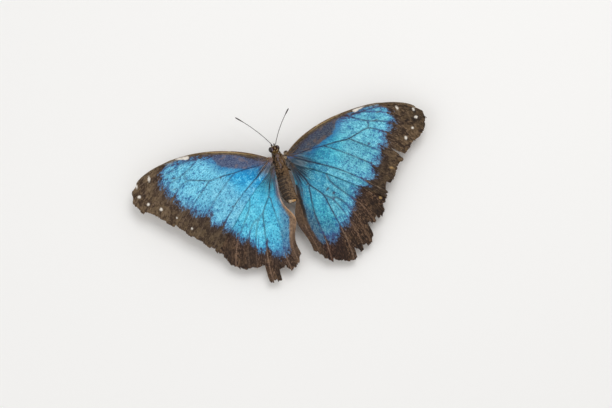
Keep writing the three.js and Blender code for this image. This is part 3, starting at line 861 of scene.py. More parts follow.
def wing_finish():
    finish = Finish("wing scales")
    where, lie = finish.place(), finish.map("Scales")
    blue, dusky, inner, front, vein, place, out, under, right, hind = map(finish.reading, (
        "blue", "dusky", "inner", "front", "vein", "place", "out", "under", "right", "hind"))
    left, fore = 1 - right, 1 - hind
    left_fore, right_fore = left * fore, right * fore
    left_hind, right_hind = left * hind, right * hind

    clouds = where.noise(0.12, 3.0, 0.55)
    coarse = where.noise(0.35, 3.0, 0.6)
    grain = where.noise(1.0, 3.0, 0.65)
    fine = where.noise(2.1, 2.0, 0.7)
    streaks = lie.stretched(1.7, 0.5).noise(1.0, 2.0, 0.6)
    fibres = lie.stretched(2.8, 0.8).noise(1.0, 2.0, 0.6)
    rows = lie.stretched(9.0, 5.0)
    tone = where.node("ShaderNodeSeparateColor", None, {0: rows.cells(1.0, "Color")})
    speckle = grain * 0.28 + fine * 0.42 + streaks * 0.3
    mottle = grain.step(0.3, 0.7)
    fan = where.node("ShaderNodeCombineXYZ", None, {0: place * 2.6, 1: out * 5.0, 2: hind})
    pleats = fan.noise(1.0, 2.0, 0.55)
    noises = {"coarse": coarse, "grain": grain, "fine": fine, "streaks": streaks,
              "fibres": fibres, "tone": tone}

    def astray(**amounts):
        """How far an edge wanders to either side, by the amount given for each noise."""
        return sum((noises[name] - 0.5) * amount for name, amount in amounts.items())

    # Blue scales: deep at the root, paler outwards, with rubbed and missing scales as specks.
    glow = out + (clouds - 0.5) * 0.3
    bright = out.step(0.50, 0.74).mix((88, 194, 220), (66, 168, 204))
    busy = out.step(0.15, 0.75) * 0.35 + 0.6
    worn = speckle + astray(coarse=0.22, tone=0.09)
    lilac = where.shifted(7.0).noise(1.3, 2.0, 0.6).step(0.62, 0.70)
    cell_blue = left_fore * place.near(6.45, 1.0, 0.4) * out.near(0.32, 0.15, 0.06)
    # Painted shade: the right pair's blue, and the shading beside its veins, are made darker and
    # greener than the left's, most of all in a teal patch near its root, for the way the light
    # falls on that pair.
    teal_shade = right * place.near(5.9, 1.4, 0.6) * (out - hind * 0.14).near(0.36, 0.22, 0.08)
    lit = left_fore * place.near(4.2, 1.8, 0.8) * out.near(0.6, 0.22, 0.1)
    shaded = right_fore * out.step(0.46, 0.2) * 0.4 + hind * out.step(0.34, 0.16) * 0.25
    shaded = shaded + right_hind * place.step(1.6, 0.4) * out.step(0.42, 0.2) * 0.4
    colour = painted(
        glow.step(0.03, 0.28).mix((32, 88, 132), (18, 144, 194)),
        (glow.step(0.24, 0.54), (104, 184, 212)),
        (left_hind * 0.6, bright),
        (right * 0.45, (74, 142, 160)),
        (right_hind * 0.4, (48, 132, 164)),
        (worn.step(0.50, 0.41) * busy, (34, 84, 136)),
        (worn.step(0.52, 0.60) * 0.6, (142, 210, 232)),
        (coarse.step(0.54, 0.64) * 0.35, tint(1.35, 1.16, 1.1)),
        (coarse.step(0.46, 0.36) * 0.35, tint(0.7, 0.8, 0.86)),
        (lilac * 0.5, (92, 84, 142)),
        (right, tint(0.86, 0.96, 0.90)),
        (left_hind, tint(0.78, 1.0, 1.0)),
        (cell_blue * 0.8, tint(0.55, 1.0, 1.06)),
        (teal_shade * 0.85, tint(0.55, 1.0, 1.02)),
        (lit, tint(1.07, 1.09, 1.06)),
        (shaded, BLACK),
        (vein.step(0.7, 0.1) * (right * 0.2 + 0.45), (44, 50, 76)),
    )

    # Towards the root both pairs turn grey, and the dusky field lies behind the front edge.  On the
    # right pair the grey, the dusky field and the blue band beside it are painted darker, as shade.
    rearmost = place.step(6.8, 7.5) * fore * 0.05
    rooted = (out + (pleats - 0.5) * 0.5 - right * 0.06 - rearmost).step(0.20, 0.05)
    root_grey = painted(
        left_hind.mix((36, 50, 62), (76, 97, 108)),
        (pleats.step(0.42, 0.58), (118, 120, 122)),
        (right, tint(0.60, 0.70, 0.79)),
        (out.step(0.09, 0.03) * 0.7, (112, 94, 80)),
    )
    beside_dusk = (dusky + astray(coarse=4.0, grain=3.0, fine=3.0)).step(-4.5, -0.2)
    dusk = (dusky + astray(grain=2.0, coarse=2.4)).step(-0.8, 1.0)
    dusk_colour = painted(
        speckle.step(0.42, 0.58).mix((52, 64, 96), (96, 108, 134)),
        (coarse.step(0.52, 0.64) * 0.5, (126, 110, 110)),
        (right, tint(0.68, 0.62, 0.50)),
    )
    colour = painted(
        colour,
        (rooted * 0.85, root_grey),
        (beside_dusk * out.step(0.12, 0.26) * (right * 0.15 + 0.5), (30, 86, 140)),
        (dusk, dusk_colour),
    )

    # The border: dark brown, mottled with tan, paler beside the veins.  On the right pair it is
    # painted darker, as shade.
    edge = astray(coarse=5.0, grain=2.5, streaks=5.5, fibres=4.5, fine=3.0, tone=1.2)
    edge = edge + blue + 0.3 - vein.step(0.7, 0.1) * 0.7
    rear = place.step(4.8, 6.0) * hind
    deep = (edge - rear * 2.0).step(5.0, 0.6) * (1 - dusk)
    haze = (edge - rear * 1.2).step(2.6, 0.2) * (1 - dusk * 0.6) * out.step(0.03, 0.13)
    border = edge.step(0.8, -0.8)
    lined = hind * 0.3 + right * 0.2 + 0.32
    blotch = (coarse * 0.5 + streaks * 0.5).step(0.54, 0.42)
    tanned = (coarse + out * 0.12 - hind * 0.06).step(0.56, 0.68)
    dulled = place.step(4.2, 6.8) * fore * 0.3 + out.step(0.80, 0.96) * hind * 0.25
    tip_end = place.step(3.2, 2.4) * out.step(0.84, 0.93) * right_fore
    brown = painted(
        speckle.step(0.40, 0.60).mix((48, 35, 27), (88, 72, 54)),
        (blotch * (lined + 0.05), (40, 28, 21)),
        (tanned * 0.4, (126, 108, 82)),
        (fibres.step(0.54, 0.64) * lined, (150, 130, 108)),
        (fibres.step(0.47, 0.38) * lined, (30, 21, 17)),
        (vein.step(0.5, 0.15) * (hind * 0.35 + 0.2), (152, 132, 112)),
        (hind * vein.step(1.3, 2.6) * 0.5, (34, 26, 20)),
    )
    brown = painted(
        brown.scaled(1.06 - hind * 0.06 - right * 0.22 - dulled).tinted(1.03, 0.98, 0.95),
        (hind, tint(0.97, 0.86, 0.86)),
        (right, tint(1.0, 0.95, 0.87)),
        (tip_end * 0.4, BLACK),
        (place.near(3.5, 0.6, 0.4) * left_hind * 0.6, (40, 30, 24)),
        (edge.step(-5.0, -0.5) * 0.3, (50, 38, 42)),
    )
    fleck = (finish.reading("fleck") + astray(fine=0.7)).step(0.25, -0.2)
    colour = painted(
        colour,
        (deep * 0.5, (42, 92, 150)),
        (haze * 0.65, (62, 62, 102)),
        (border, brown),
        (fleck * 0.75, (60, 44, 64)),
    )

    # The flap beside the abdomen and the haze along it, and a painted shadow in the fold between
    # the right flap and the blue.
    flap = (inner + astray(grain=1.2)).step(-0.7, 0.5)
    flap_haze = inner + astray(grain=4.0, coarse=4.0, fine=5.0) + out.step(0.38, 0.55) * 2.6
    flap_haze = (flap_haze - 1.4).step(-4.6, -0.6) * (1 - border) * out.step(0.16, 0.3)
    outer_flap = (right * 0.12 + out - 0.12).step(0.56, 0.76)
    flap_colour = painted(
        mottle.mix((112, 89, 71), (152, 124, 99)),
        (out.step(0.46, 0.36), mottle.mix((106, 104, 108), (158, 152, 148))),
        (out.step(0.64, 0.8) * 0.2, BLACK),
        (right, mottle.mix((70, 54, 41), (102, 80, 61))),
        (outer_flap * 0.75, brown.scaled(1.05)),
    )
    dim = place.near(5.95, 0.9, 0.4) * out.step(0.52, 0.62) * right_hind
    level = out.near(0.46, 0.24, 0.1) * left_hind * place.step(1.6, 2.6)
    haze_colour = painted(
        speckle.step(0.42, 0.58).mix((36, 66, 104), (92, 128, 158)),
        (right, tint(0.78, 0.72, 0.62)),
    )
    # Painted shadow: a near-black band in the fold beside the right flap, where shade falls.
    fold_shadow = (inner + astray(grain=0.6)).near(0.2, 0.9, 0.4) * right
    fold_shadow = fold_shadow * out.step(0.12, 0.25) * out.step(0.66, 0.5)
    rim = place.step(7.7, 7.9) * left_hind * out.step(0.1, 0.16) * out.step(0.7, 0.55)
    colour = painted(
        colour,
        (dim, tint(0.88, 0.76, 0.80)),
        (level, lambda blues: place.step(4.4, 5.3).mix(blues.tinted(1.12, 1.06, 1.04),
                                                       blues.tinted(0.84, 0.92, 0.94))),
        (flap_haze * (right * 0.1 + 0.75), haze_colour),
        (flap, flap_colour),
        (fold_shadow * 0.9, (22, 21, 21)),
        (rim * 0.7, out.step(0.3, 0.5).mix((196, 174, 160), (198, 154, 112))),
    )

    # The front edge with its thin tan line, the pale smear near the tip and the white spots.
    costa = (front + astray(grain=0.5)).step(1.5, 0.9) * fore
    costa_shade = right * (out.step(0.5, 0.15) * out.step(0.07, 0.16) * 0.3 + 0.06)
    costa_colour = grain.step(0.35, 0.65).mix((78, 64, 50), (116, 98, 76))
    line = front.step(0.62, 0.35) * fore * out.step(0.85, 0.5)
    line = line * (1 - right * (0.25 + out.step(0.32, 0.2) * 0.5))
    smear = place.near(1.0, 1.1, 0.5) * out.near(0.69, 0.06, 0.02) * fore
    spot = (finish.reading("spot") + astray(fine=0.8)).step(0.3, -0.3)
    stained = (place.step(4.4, 5.0) + hind).low(1.0) * right
    colour = painted(
        colour,
        (costa, costa_colour.scaled(1 - costa_shade)),
        (line * 0.85, (192, 164, 114)),
        (smear * grain.step(0.35, 0.6) * 0.5, (156, 148, 132)),
        (spot * (1 - stained * 0.25), stained.mix((226, 219, 208), (184, 148, 96))),
    ).scaled(0.88 + tone * 0.24)

    # The under side: brown, with pale bands and ringed spots.
    ring = finish.reading("eyespot") + astray(grain=0.3)
    waved = out + astray(coarse=0.05)
    bands = sum(waved.near(*band) for band in PALE_BANDS)
    below = painted(
        mottle.mix((92, 68, 48), (134, 106, 78)),
        (coarse.step(0.5, 0.6) * 0.4, (150, 122, 88)),
        (out.step(0.5, 0.62) * out.step(0.86, 0.74) * 0.45, (74, 54, 38)),
        (bands.low(1.0) * 0.8, (196, 182, 150)),
        (ring.step(1.1, 0.8), (70, 52, 40)),
        (ring.step(0.3, 0.1), (204, 164, 84)),
        (ring.step(-0.4, -0.6), (22, 17, 16)),
        (finish.reading("pupil").step(0.1, -0.1), (232, 226, 216)),
        (vein.step(0.5, 0.15) * 0.5, (80, 60, 44)),
    ).scaled(0.9 + tone * 0.2)

    shiny = (1 - border) * (1 - flap) * (1 - under) * (1 - dusk * 0.6) * (1 - costa)
    relief = rows.cells(1.0) * 0.4 + fine * 0.6 + grain * 0.6
    return finish.set(
        Base_Color=under.mix(colour, below),
        Metallic=shiny * 0.3,
        Roughness=0.72 - shiny * 0.24,
        Normal=relief.bump(0.5, 0.06),
        Specular_IOR_Level=0.18,
    )


wing_material = wing_finish()
membranes = {}
for name, wing in WINGS.items():
    membranes[name] = make_wing(name, wing)
    dress(membranes[name], wing_material, "wing", name)


# ---- wing veins -----------------------------------------------------------------------------
# Hollow tubes that hold each membrane stretched, thick at the root and thin at the edge.  They
# stand out a little on both sides, dark in the blue field and tan in the border.

def take_up(piece):
    """Makes a piece the only one that is selected."""
    deselect()
    piece.select_set(True)
    bpy.context.view_layer.objects.active = piece


def put_in(name, data):
    """A new piece, taken up, with the given curve or mesh."""
    piece = bpy.data.objects.new(name, data)
    scene.collection.objects.link(piece)
    take_up(piece)
    return piece


def strands(name, routes, sides=3):
    """Round rods through the given points, each with a radius at every point, as one mesh."""
    curve = bpy.data.curves.new(name, "CURVE")
    curve.dimensions = "3D"
    curve.bevel_depth = MM
    curve.bevel_resolution = sides - 2
    curve.use_fill_caps = True
    for points, radii in routes:
        spline = curve.splines.new("POLY")
        spline.points.add(len(points) - 1)
        for knot, where, radius in zip(spline.points, to_metres(points), radii):
            knot.co = (*where, 1.0)
            knot.radius = radius
    put_in(name, curve)
    bpy.ops.object.convert(target="MESH")
    piece = bpy.context.object
    bpy.ops.object.shade_smooth()
    return piece


def carry_nearest(piece, marks, readings):
    """Gives every point of a piece the readings of the mark nearest to it."""
    found, _ = find_nearest(mesh_points(piece.data), to_metres(marks))
    for label, values in readings.items():
        carry(piece.data, label, np.asarray(values)[found])


def make_veins(name, wing):
    routes = []
    readings = {"blue": [], "out": [], "dark": []}
    for route, width, dark in vein_routes(wing):
        points = wing_point(wing, route[:, 0], route[:, 1])
        routes.append((points, width / 2))
        marks = markings(wing, route[:, 0], route[:, 1], points)
        blue = np.minimum(marks["blue"], np.where(marks["inner"] > 0, -FAR, FAR))
        readings["blue"].extend(blue)
        readings["out"].extend(route[:, 1])
        readings["dark"].extend(np.full(len(route), dark))
    piece = strands(name.replace("wing", "wing_veins"), routes)
    carry_nearest(piece, np.vstack([points for points, _ in routes]), readings)
    return piece


def vein_finish():
    finish = Finish("vein skin")
    where = finish.place()
    grain = where.noise(1.6, 3.0, 0.6)
    mottle = grain.step(0.35, 0.65)
    right = (where.part(0) - ORIGIN[0]).step(-1.0, 1.0)
    faint = mottle.mix((62, 92, 132), (104, 130, 156))
    in_border = (finish.reading("blue") + (grain - 0.5) * 2.0).step(0.6, -0.8)
    # Painted shade: the right pair's veins are made much darker than the left's.
    colour = painted(
        faint,
        (right, tint(0.36, 0.44, 0.52)),
        (finish.reading("dark").step(0.2, 0.95), mottle.mix((16, 17, 26), (38, 38, 50))),
        (in_border, mottle.mix((86, 70, 58), (156, 138, 120))),
        (finish.reading("out").step(0.16, 0.02) * 0.7, (112, 88, 68)),
    )
    return finish.set(Base_Color=colour, Roughness=0.6, Specular_IOR_Level=0.15,
                      Normal=grain.bump(0.4, 0.03))


vein_material = vein_finish()
for name, wing in WINGS.items():
    dress(make_veins(name, wing), vein_material, "wing")


# ---- the body's skin ------------------------------------------------------------------------
# One soft skin over head, thorax and ringed abdomen, drawn in at the neck and at the waist.  It
# lies under the hair by the hair's depth.

# Along the body: y, middle x, middle z, half width, half height.
BODY = [
    (5.75, -0.55, 8.5, 0.10, 0.10),
    (5.62, -0.55, 8.5, 0.75, 0.95),
    (5.2, -0.45, 8.6, 1.4, 1.4),
    (4.4, -0.35, 8.75, 1.85, 1.65),
    (3.4, -0.45, 8.65, 1.5, 1.45),
    (2.6, -0.55, 8.5, 0.95, 1.05),
    (2.1, -0.5, 8.45, 1.15, 1.3),
    (1.4, -0.5, 8.4, 1.75, 1.95),
    (0.2, -0.5, 8.35, 2.2, 2.4),
    (-1.6, -0.5, 8.35, 2.4, 2.6),
    (-4.0, -0.5, 8.3, 2.45, 2.6),
    (-6.2, -0.6, 8.25, 2.35, 2.4),
    (-7.4, -0.75, 8.15, 2.3, 2.3),
    (-9.0, -0.95, 8.0, 2.65, 2.65),
    (-12.0, -1.15, 7.9, 2.85, 2.85),
    (-15.5, -1.2, 7.5, 2.85, 2.8),
    (-17.8, -1.0, 7.15, 2.65, 2.55),
    (-19.0, -0.85, 7.0, 2.15, 2.05),
    (-19.55, -0.8, 6.92, 1.2, 1.2),
    (-19.65, -0.8, 6.9, 0.1, 0.1),
]
# Each ring of the abdomen swells a little just before its end.
RING_ENDS = (-9.3, -10.9, -12.5, -14.1, -15.7, -17.2, -18.5)
RING_SWELL = 0.035
RING_LIP = 0.45
RING_DIP = 0.012
RING_LENGTH = 1.6
# The thorax swells at the shoulders, under the wing roots.
SHOULDER_SWELL = 0.7
SHOULDER_Y = -1.1
SHOULDER_LENGTH = 2.0
SHOULDER_RISE = 1.3
SHOULDER_HEIGHT = 1.1


def body_point(y, around):
    """A point of the skin: around is 0 on top and grows towards the butterfly's right."""
    stations = np.array(BODY)[::-1]
    x, z, wide, tall = (np.interp(y, stations[:, 0], stations[:, i]) for i in (1, 2, 3, 4))
    swell = np.ones_like(y)
    for end in RING_ENDS:
        before = y - end
        near = (before > -0.05) & (before < RING_LENGTH)
        swell = np.where(near, 1.0 + RING_SWELL * np.exp(-before / RING_LIP) - RING_DIP, swell)
    side = np.sin(around) * wide * swell
    rise = np.cos(around) * tall * swell
    lengthwise = np.exp(-((y - SHOULDER_Y) / SHOULDER_LENGTH) ** 2)
    shoulder = lengthwise * np.exp(-((rise - SHOULDER_RISE) / SHOULDER_HEIGHT) ** 2)
    side = side + np.sign(side) * shoulder * SHOULDER_SWELL * ramp(np.abs(side), 0.6, 1.6)
    return np.stack([x + side, y, z + rise], -1)


def new_ball(name, segments, rings):
    """A ball of radius 1 to be shaped, and its points."""
    deselect()
    bpy.ops.mesh.primitive_uv_sphere_add(segments=segments, ring_count=rings, radius=1)
    piece = bpy.context.object
    piece.name = name
    return piece, mesh_points(piece.data)


skin, ball = new_ball("body_skin", 96, 230)
polar = np.arccos(np.clip(ball[:, 2], -1, 1)) / np.pi    # 0 at the face, 1 at the tail
body_length = BODY[0][0] - BODY[-1][0]
around = np.arctan2(ball[:, 0], ball[:, 1])
put_points(skin.data, to_metres(body_point(BODY[0][0] - body_length * polar, around)))
edit_all(bpy.ops.mesh.normals_make_consistent, inside=False)
bpy.ops.object.shade_smooth()


# Patches of the upper side: middle x and y, half width and half length.  The lilac-grey ones are
# painted sheen, glints on the thorax's hair.
LILAC_SHEEN_PATCHES = [(-0.2, 0.5, 0.85, 0.85), (-0.5, -1.1, 0.42, 0.9), (-0.4, -2.9, 0.3, 0.8),
                 (-0.2, -3.9, 0.3, 0.6), (-0.6, -4.7, 0.28, 0.5), (0.9, -2.2, 0.25, 0.8)]
DARK_PATCHES = [(-2.3, -7.0, 0.6, 0.5), (-0.95, -7.3, 0.6, 0.5), (-1.5, 0.9, 0.35, 0.9),
                (1.05, 0.4, 0.2, 1.2), (1.5, -3.4, 0.22, 1.6), (-2.5, -1.4, 0.5, 0.8)]
RED_PITS = [(-0.62, 4.2, 0.5, 0.5), (0.5, 4.3, 0.5, 0.55), (-0.05, 3.7, 0.3, 0.2)]
CREAM_DOTS = [(-0.9, 5.3, 0.32, 0.3), (-0.05, 4.15, 0.22, 0.4), (0.1, 5.2, 0.2, 0.2),
              (-0.8, 3.2, 0.3, 0.22), (0.3, 3.05, 0.35, 0.2), (0.75, 3.5, 0.2, 0.2)]
EYE_RIMS = [(-1.55, 4.35, 0.34, 0.95), (1.25, 4.75, 0.28, 0.7)]


def body_colour(finish):
    """The markings of the body, the same on the skin and on the hair over it."""
    where = finish.place()
    x, y, z = (where.part(0) - ORIGIN[0], where.part(1) - ORIGIN[1], where.part(2))
    patch = where.noise(0.55, 3.0, 0.6)
    grain = where.noise(1.3, 3.0, 0.65)

    def patches(ovals):
        nearest_oval = None
        for at_x, at_y, wide, long in ovals:
            across, along = (x - at_x) / wide, (y - at_y) / long
            far = across * across + along * along
            nearest_oval = far if nearest_oval is None else nearest_oval.low(far)
        return (nearest_oval + (grain - 0.5) * 1.5).step(1.3, 0.5) * z.step(8.0, 9.0)

    def cloud(by_patch):
        """The two noises together, with the given share of the broader one."""
        return patch * by_patch + grain * (1 - by_patch)

    ringed = (y * -0.64).fraction()
    rows = (y * -1.9 + grain).fraction()
    tip = (y + x * 0.14).step(-19.08, -19.18) * (z + grain - 0.5).step(6.4, 7.2)
    thorax = painted(
        cloud(0.2).step(0.44, 0.56).mix((19, 14, 11), (130, 107, 82)),
        # Painted light: the thorax's right side is paler tan, as if lit from the right.
        ((x + patch * 2.0).step(0.6, 1.9) * 0.65, (140, 114, 86)),
        (cloud(0.3).step(0.46, 0.37) * 0.5, (38, 28, 21)),
        # Painted sheen: lilac-grey glints on the hair.
        (patches(LILAC_SHEEN_PATCHES) * 0.7, (140, 128, 134)),
    )
    head = painted(
        grain.step(0.42, 0.58).mix((36, 25, 15), (90, 69, 42)),
        (patches(RED_PITS) * 0.85, (52, 16, 13)),
        (patches(CREAM_DOTS) * 0.85, (212, 188, 150)),
        (y.step(3.5, 2.9) * 0.5, (128, 104, 58)),
        (patches(EYE_RIMS) * 0.9, (170, 158, 180)),
    )
    abdomen = painted(
        grain.step(0.42, 0.58).mix((42, 32, 25), (122, 100, 78)),
        # Painted light and shade: the left side is darker and the right side paler tan, as if lit
        # from the right.
        ((patch - x).step(1.2, 2.8) * 0.85, (38, 30, 24)),
        ((patch + x).step(-0.2, 1.2) * 0.4, (150, 122, 92)),
        (ringed.step(0.72, 0.95) * 0.4, (158, 134, 104)),
        (ringed.step(0.22, 0.04) * 0.6, (38, 28, 22)),
        (rows.step(0.3, 0.0) * 0.35, (48, 38, 31)),
        (cloud(0.6).step(0.52, 0.42) * 0.6, (46, 35, 29)),
    )
    pale = painted(
        x.step(-1.6, 0.4).mix((224, 204, 176), (246, 196, 126)),
        (cloud(0.4).step(0.52, 0.38) * 0.5, (150, 112, 74)),
    )
    colour = painted(
        thorax,
        (y.step(1.9, 2.5), head),
        (y.step(-6.6, -8.0), abdomen),
        (patches(DARK_PATCHES) * 0.9, (26, 18, 14)),
        (tip * x.step(-2.6, -1.9) * 0.95, pale),
    )
    return colour, grain


skin_finish = Finish("body skin")
skin_colour, skin_grain = body_colour(skin_finish)
skin_material = skin_finish.set(
    Base_Color=skin_colour.scaled(0.8),
    Roughness=0.8,
    Normal=skin_grain.bump(0.6, 0.08),
)
dress(skin, skin_material, "fur", "head", "thorax", "abdomen")


# ---- hair and scales of the body ------------------------------------------------------------
# Long soft hair on the thorax, bristles on the head and short flat scales on the abdomen, all
# lying back along the body.

# One tuft: two rings of three points and the tip, rooted a little under the skin.
CORNERS = 7
TUFT_ROOT = 0.05
TUFT_TAPER = 0.85
TUFT_TIP = [0, 0, 0, 0.5, 0.5, 0.5, 1.0]
TUFT_MAP = np.array([(0.0, 0.0), (0.5, 0.0), (1.0, 0.0), (0.0, 0.6), (0.5, 0.6), (1.0, 0.6),
                     (0.5, 1.0)]) * 0.003


def tuft_sizes(source, count, *bounds):
    """One number for each tuft from between each pair of bounds, mostly for its length, its
    width and how far it is lifted, in radians."""
    return [source.uniform(low, high, count) for low, high in bounds]


def grow_tufts(name, roots, ways, normals, maps, sizes, bend, flat=0.5):
    """Thin pointed tufts, each of two lengths of a three-sided spike, joined in one mesh."""
    count = len(roots)
    ways = unit(ways - normals * (ways * normals).sum(-1, keepdims=True))
    sides = np.cross(ways, normals)
    lengths, widths, lift = (size[:, None] for size in sizes)
    start = ways * np.cos(lift) + normals * np.sin(lift)
    end = ways * np.cos(lift - bend) + normals * np.sin(lift - bend)
    base = roots - normals * TUFT_ROOT
    middle = base + start * lengths / 2
    tip = middle + end * lengths / 2
    across = sides * widths / 2
    thick = np.cross(sides, start) * widths / 2 * flat
    points, faces = [], []
    for turn in range(3):
        after = (turn + 1) % 3
        faces += [(turn, after, after + 3), (turn, after + 3, turn + 3), (turn + 3, after + 3, 6)]
    faces.append((0, 2, 1))
    for centre, share in ((base, 1.0), (middle, TUFT_TAPER)):
        for angle in (0, 2 * math.pi / 3, 4 * math.pi / 3):
            points.append(centre + (across * math.sin(angle) + thick * math.cos(angle)) * share)
    points = np.stack([*points, tip], 1).reshape(-1, 3)
    faces = (np.arange(count)[:, None, None] * CORNERS + np.array(faces)).reshape(-1, 3)
    mesh = bpy.data.meshes.new(name)
    mesh.from_pydata(to_metres(points).tolist(), [], faces.tolist())
    mesh.update()
    piece = put_in(name, mesh)
    carry(mesh, "tone", np.repeat(np.random.RandomState(count).rand(count), CORNERS))
    carry(mesh, "tip", np.tile(TUFT_TIP, count))
    patch = (maps[:, None, :] + TUFT_MAP).reshape(-1, 2)
    put_map(mesh.uv_layers.new(name="OFBake"), patch[faces.ravel()])
    edit_all(bpy.ops.mesh.normals_make_consistent, inside=False)
    return piece


NEARBY = 0.02    # in y and around, to read the skin's normals from


def body_roots(count, y_from, y_to, seed, span):
    """Roots scattered over a stretch of the skin, with their normals and their places on it."""
    source = np.random.RandomState(seed)
    y = source.uniform(y_to, y_from, count)
    around = source.uniform(*span, count) * source.choice([-1, 1], count)
    roots = body_point(y, around)
    along = body_point(y - NEARBY, around) - body_point(y + NEARBY, around)
    across = body_point(y, around + NEARBY) - body_point(y, around - NEARBY)
    normals = unit(np.cross(along, across))
    outward = roots - body_point(y, around + np.pi)
    normals = normals * np.sign((normals * outward).sum(-1, keepdims=True))
    maps = np.stack([around / (2 * np.pi) + 0.5, (BODY[0][0] - y) / body_length], -1) * MAP_SHARE
    return source, roots, normals, maps


def each_hair(finish, least, by_tone, by_tip):
    """How bright a hair is, by its own tone and towards its tip."""
    return finish.reading("tone") * by_tone + finish.reading("tip") * by_tip + least


def hair_finish():
    finish = Finish("body hair")
    colour = body_colour(finish)[0].scaled(each_hair(finish, 0.38, 0.95, 0.45).low(1.5))
    return finish.set(Base_Color=colour.tinted(1.0, 0.94, 0.86), Roughness=0.65,
                      Specular_IOR_Level=0.2)


hair_material = hair_finish()

COAT_PARTING = -0.6    # the x from which the flanks' hair points outwards to either side
COAT_STRAY = 0.22      # how far a hair's way strays from its neighbours', to each side
COATS = {
    "coat_thorax": {"count": 15000, "from": 2.3, "to": -7.9, "length": (0.8, 1.5),
                    "width": (0.0595, 0.102), "lift": (0.2, 0.6), "bend": 0.5},
    "coat_abdomen": {"count": 15000, "from": -7.2, "to": -19.5, "length": (0.35, 0.6),
                     "width": (0.112, 0.192), "lift": (0.05, 0.25), "bend": 0.15},
    "coat_flanks": {"count": 2600, "from": 0.8, "to": -7.4, "length": (1.3, 2.3),
                    "width": (0.049, 0.084), "lift": (0.0, 0.35), "bend": 0.3,
                    "around": (0.7, 1.5), "outwards": 1.1},
    "coat_head": {"count": 5000, "from": 5.6, "to": 2.2, "length": (0.3, 0.65),
                  "width": (0.042, 0.072), "lift": (0.4, 0.9), "bend": 0.4},
}
for name, coat in COATS.items():
    count = coat["count"]
    source, roots, normals, maps = body_roots(count, coat["from"], coat["to"], len(name),
                                              coat.get("around", (0, np.pi)))
    outwards = np.sign(roots[:, :1] - COAT_PARTING) * (coat.get("outwards", 0.0), 0, 0)
    ways = outwards + (0.0, -1.0, 0.0) + source.normal(0, COAT_STRAY, (count, 3))
    sizes = tuft_sizes(source, count, coat["length"], coat["width"], coat["lift"])
    tufts = grow_tufts(name, roots, ways, normals, maps, sizes, coat["bend"])
    dress(tufts, hair_material, "fur")


# ---- shoulder lappets -----------------------------------------------------------------------
# A small horny lappet covers each front wing's hinge like an epaulette, and a pad lies behind it
# where the wings join the body.  All are clothed in short soft hair.

# The lobes of each: middle, half sizes, and the turn about the upright in degrees.
LAPPETS = {
    "lappet_left": [((-4.0, 0.1, 10.35), (1.35, 1.35, 0.4), 20)],
    "lappet_right": [((3.5, 0.75, 10.2), (0.85, 0.85, 0.6), -25),
                     ((2.55, -0.75, 10.0), (0.9, 1.1, 0.6), 20)],
    "hinge_left": [((-3.15, -2.1, 9.45), (1.0, 2.3, 0.7), 12)],
    "hinge_right": [((2.85, -2.9, 9.35), (1.35, 2.9, 0.75), 4)],
}


def lappet_finish(name, root, tip):
    finish = Finish(name)
    grain = finish.place().noise(0.9, 3.0, 0.6)
    colour = grain.step(0.42, 0.58).mix(root, tip).scaled(each_hair(finish, 0.72, 0.4, 0.25))
    return finish.set(Base_Color=colour, Roughness=0.7, Normal=grain.bump(0.5, 0.04))


LAPPET_COLOURS = {
    "lappet_left": ("left lappet hair", (112, 88, 78), (158, 134, 124)),
    "lappet_right": ("right lappet hair", (58, 42, 32), (176, 154, 126)),
    "hinge_left": ("left hinge hair", (76, 66, 62), (126, 116, 108)),
    "hinge_right": ("right hinge hair", (38, 38, 42), (98, 92, 88)),
}
LAPPET_HAIRS = 900    # on each lobe, before those under it are left out
UNDER_LOBE = -0.3     # how low a hair may point
LAPPET_HAIR = [(0.35, 0.8), (0.06, 0.1), (0.1, 0.5)]    # length, width and lift
LAPPET_BEND = 0.3
LAPPET_STRAY = 0.25
LAPPET_OUTWARDS = 0.5
LAPPET_TONE = 0.3    # of the pad under the hair

for name, lobes in LAPPETS.items():
    material = lappet_finish(*LAPPET_COLOURS[name])
    source = np.random.RandomState(77)
    cores, hairs = [], []
    for index, (middle, halves, turned) in enumerate(lobes):
        spin = np.array(Matrix.Rotation(math.radians(turned), 3, "Z")).T
        lobe, ball = new_ball(name, 32, 20)
        put_points(lobe.data, to_metres((ball * halves) @ spin + middle))
        cores.append(lobe)
        way = unit(source.normal(0, 1, (LAPPET_HAIRS, 3)))
        way = way[way[:, 2] > UNDER_LOBE]
        backward = (-LAPPET_OUTWARDS if name.endswith("left") else LAPPET_OUTWARDS, -1.0, 0.0)
        u = (index + 0.5 + np.arctan2(way[:, 0], way[:, 1]) / (2 * np.pi)) / len(lobes)
        hairs.append([(way * halves) @ spin + middle,
                      backward + source.normal(0, LAPPET_STRAY, (len(way), 3)),
                      unit((way / halves) @ spin),
                      np.stack([u, np.arccos(way[:, 2]) / np.pi], -1) * MAP_SHARE])
    take_up(cores[0])
    for lobe in cores[1:]:
        lobe.select_set(True)
    if len(cores) > 1:
        bpy.ops.object.join()
    core = bpy.context.object
    bpy.ops.object.shade_smooth()
    carry(core.data, "tone", np.full(len(core.data.vertices), LAPPET_TONE))
    carry(core.data, "tip", np.zeros(len(core.data.vertices)))
    dress(core, material, "fur")
    roots, ways, normals, maps = (np.vstack(part) for part in zip(*hairs))
    sizes = tuft_sizes(source, len(roots), *LAPPET_HAIR)
    hair = grow_tufts(name + "_hair", roots, ways, normals, maps, sizes, LAPPET_BEND)
    dress(hair, material, "fur")


# ---- eyes -----------------------------------------------------------------------------------
# Large domed eyes of fine horny facets, dark brown and glossy.  Each is set into a side of the
# head, and the right one sits a little lower in its hair.

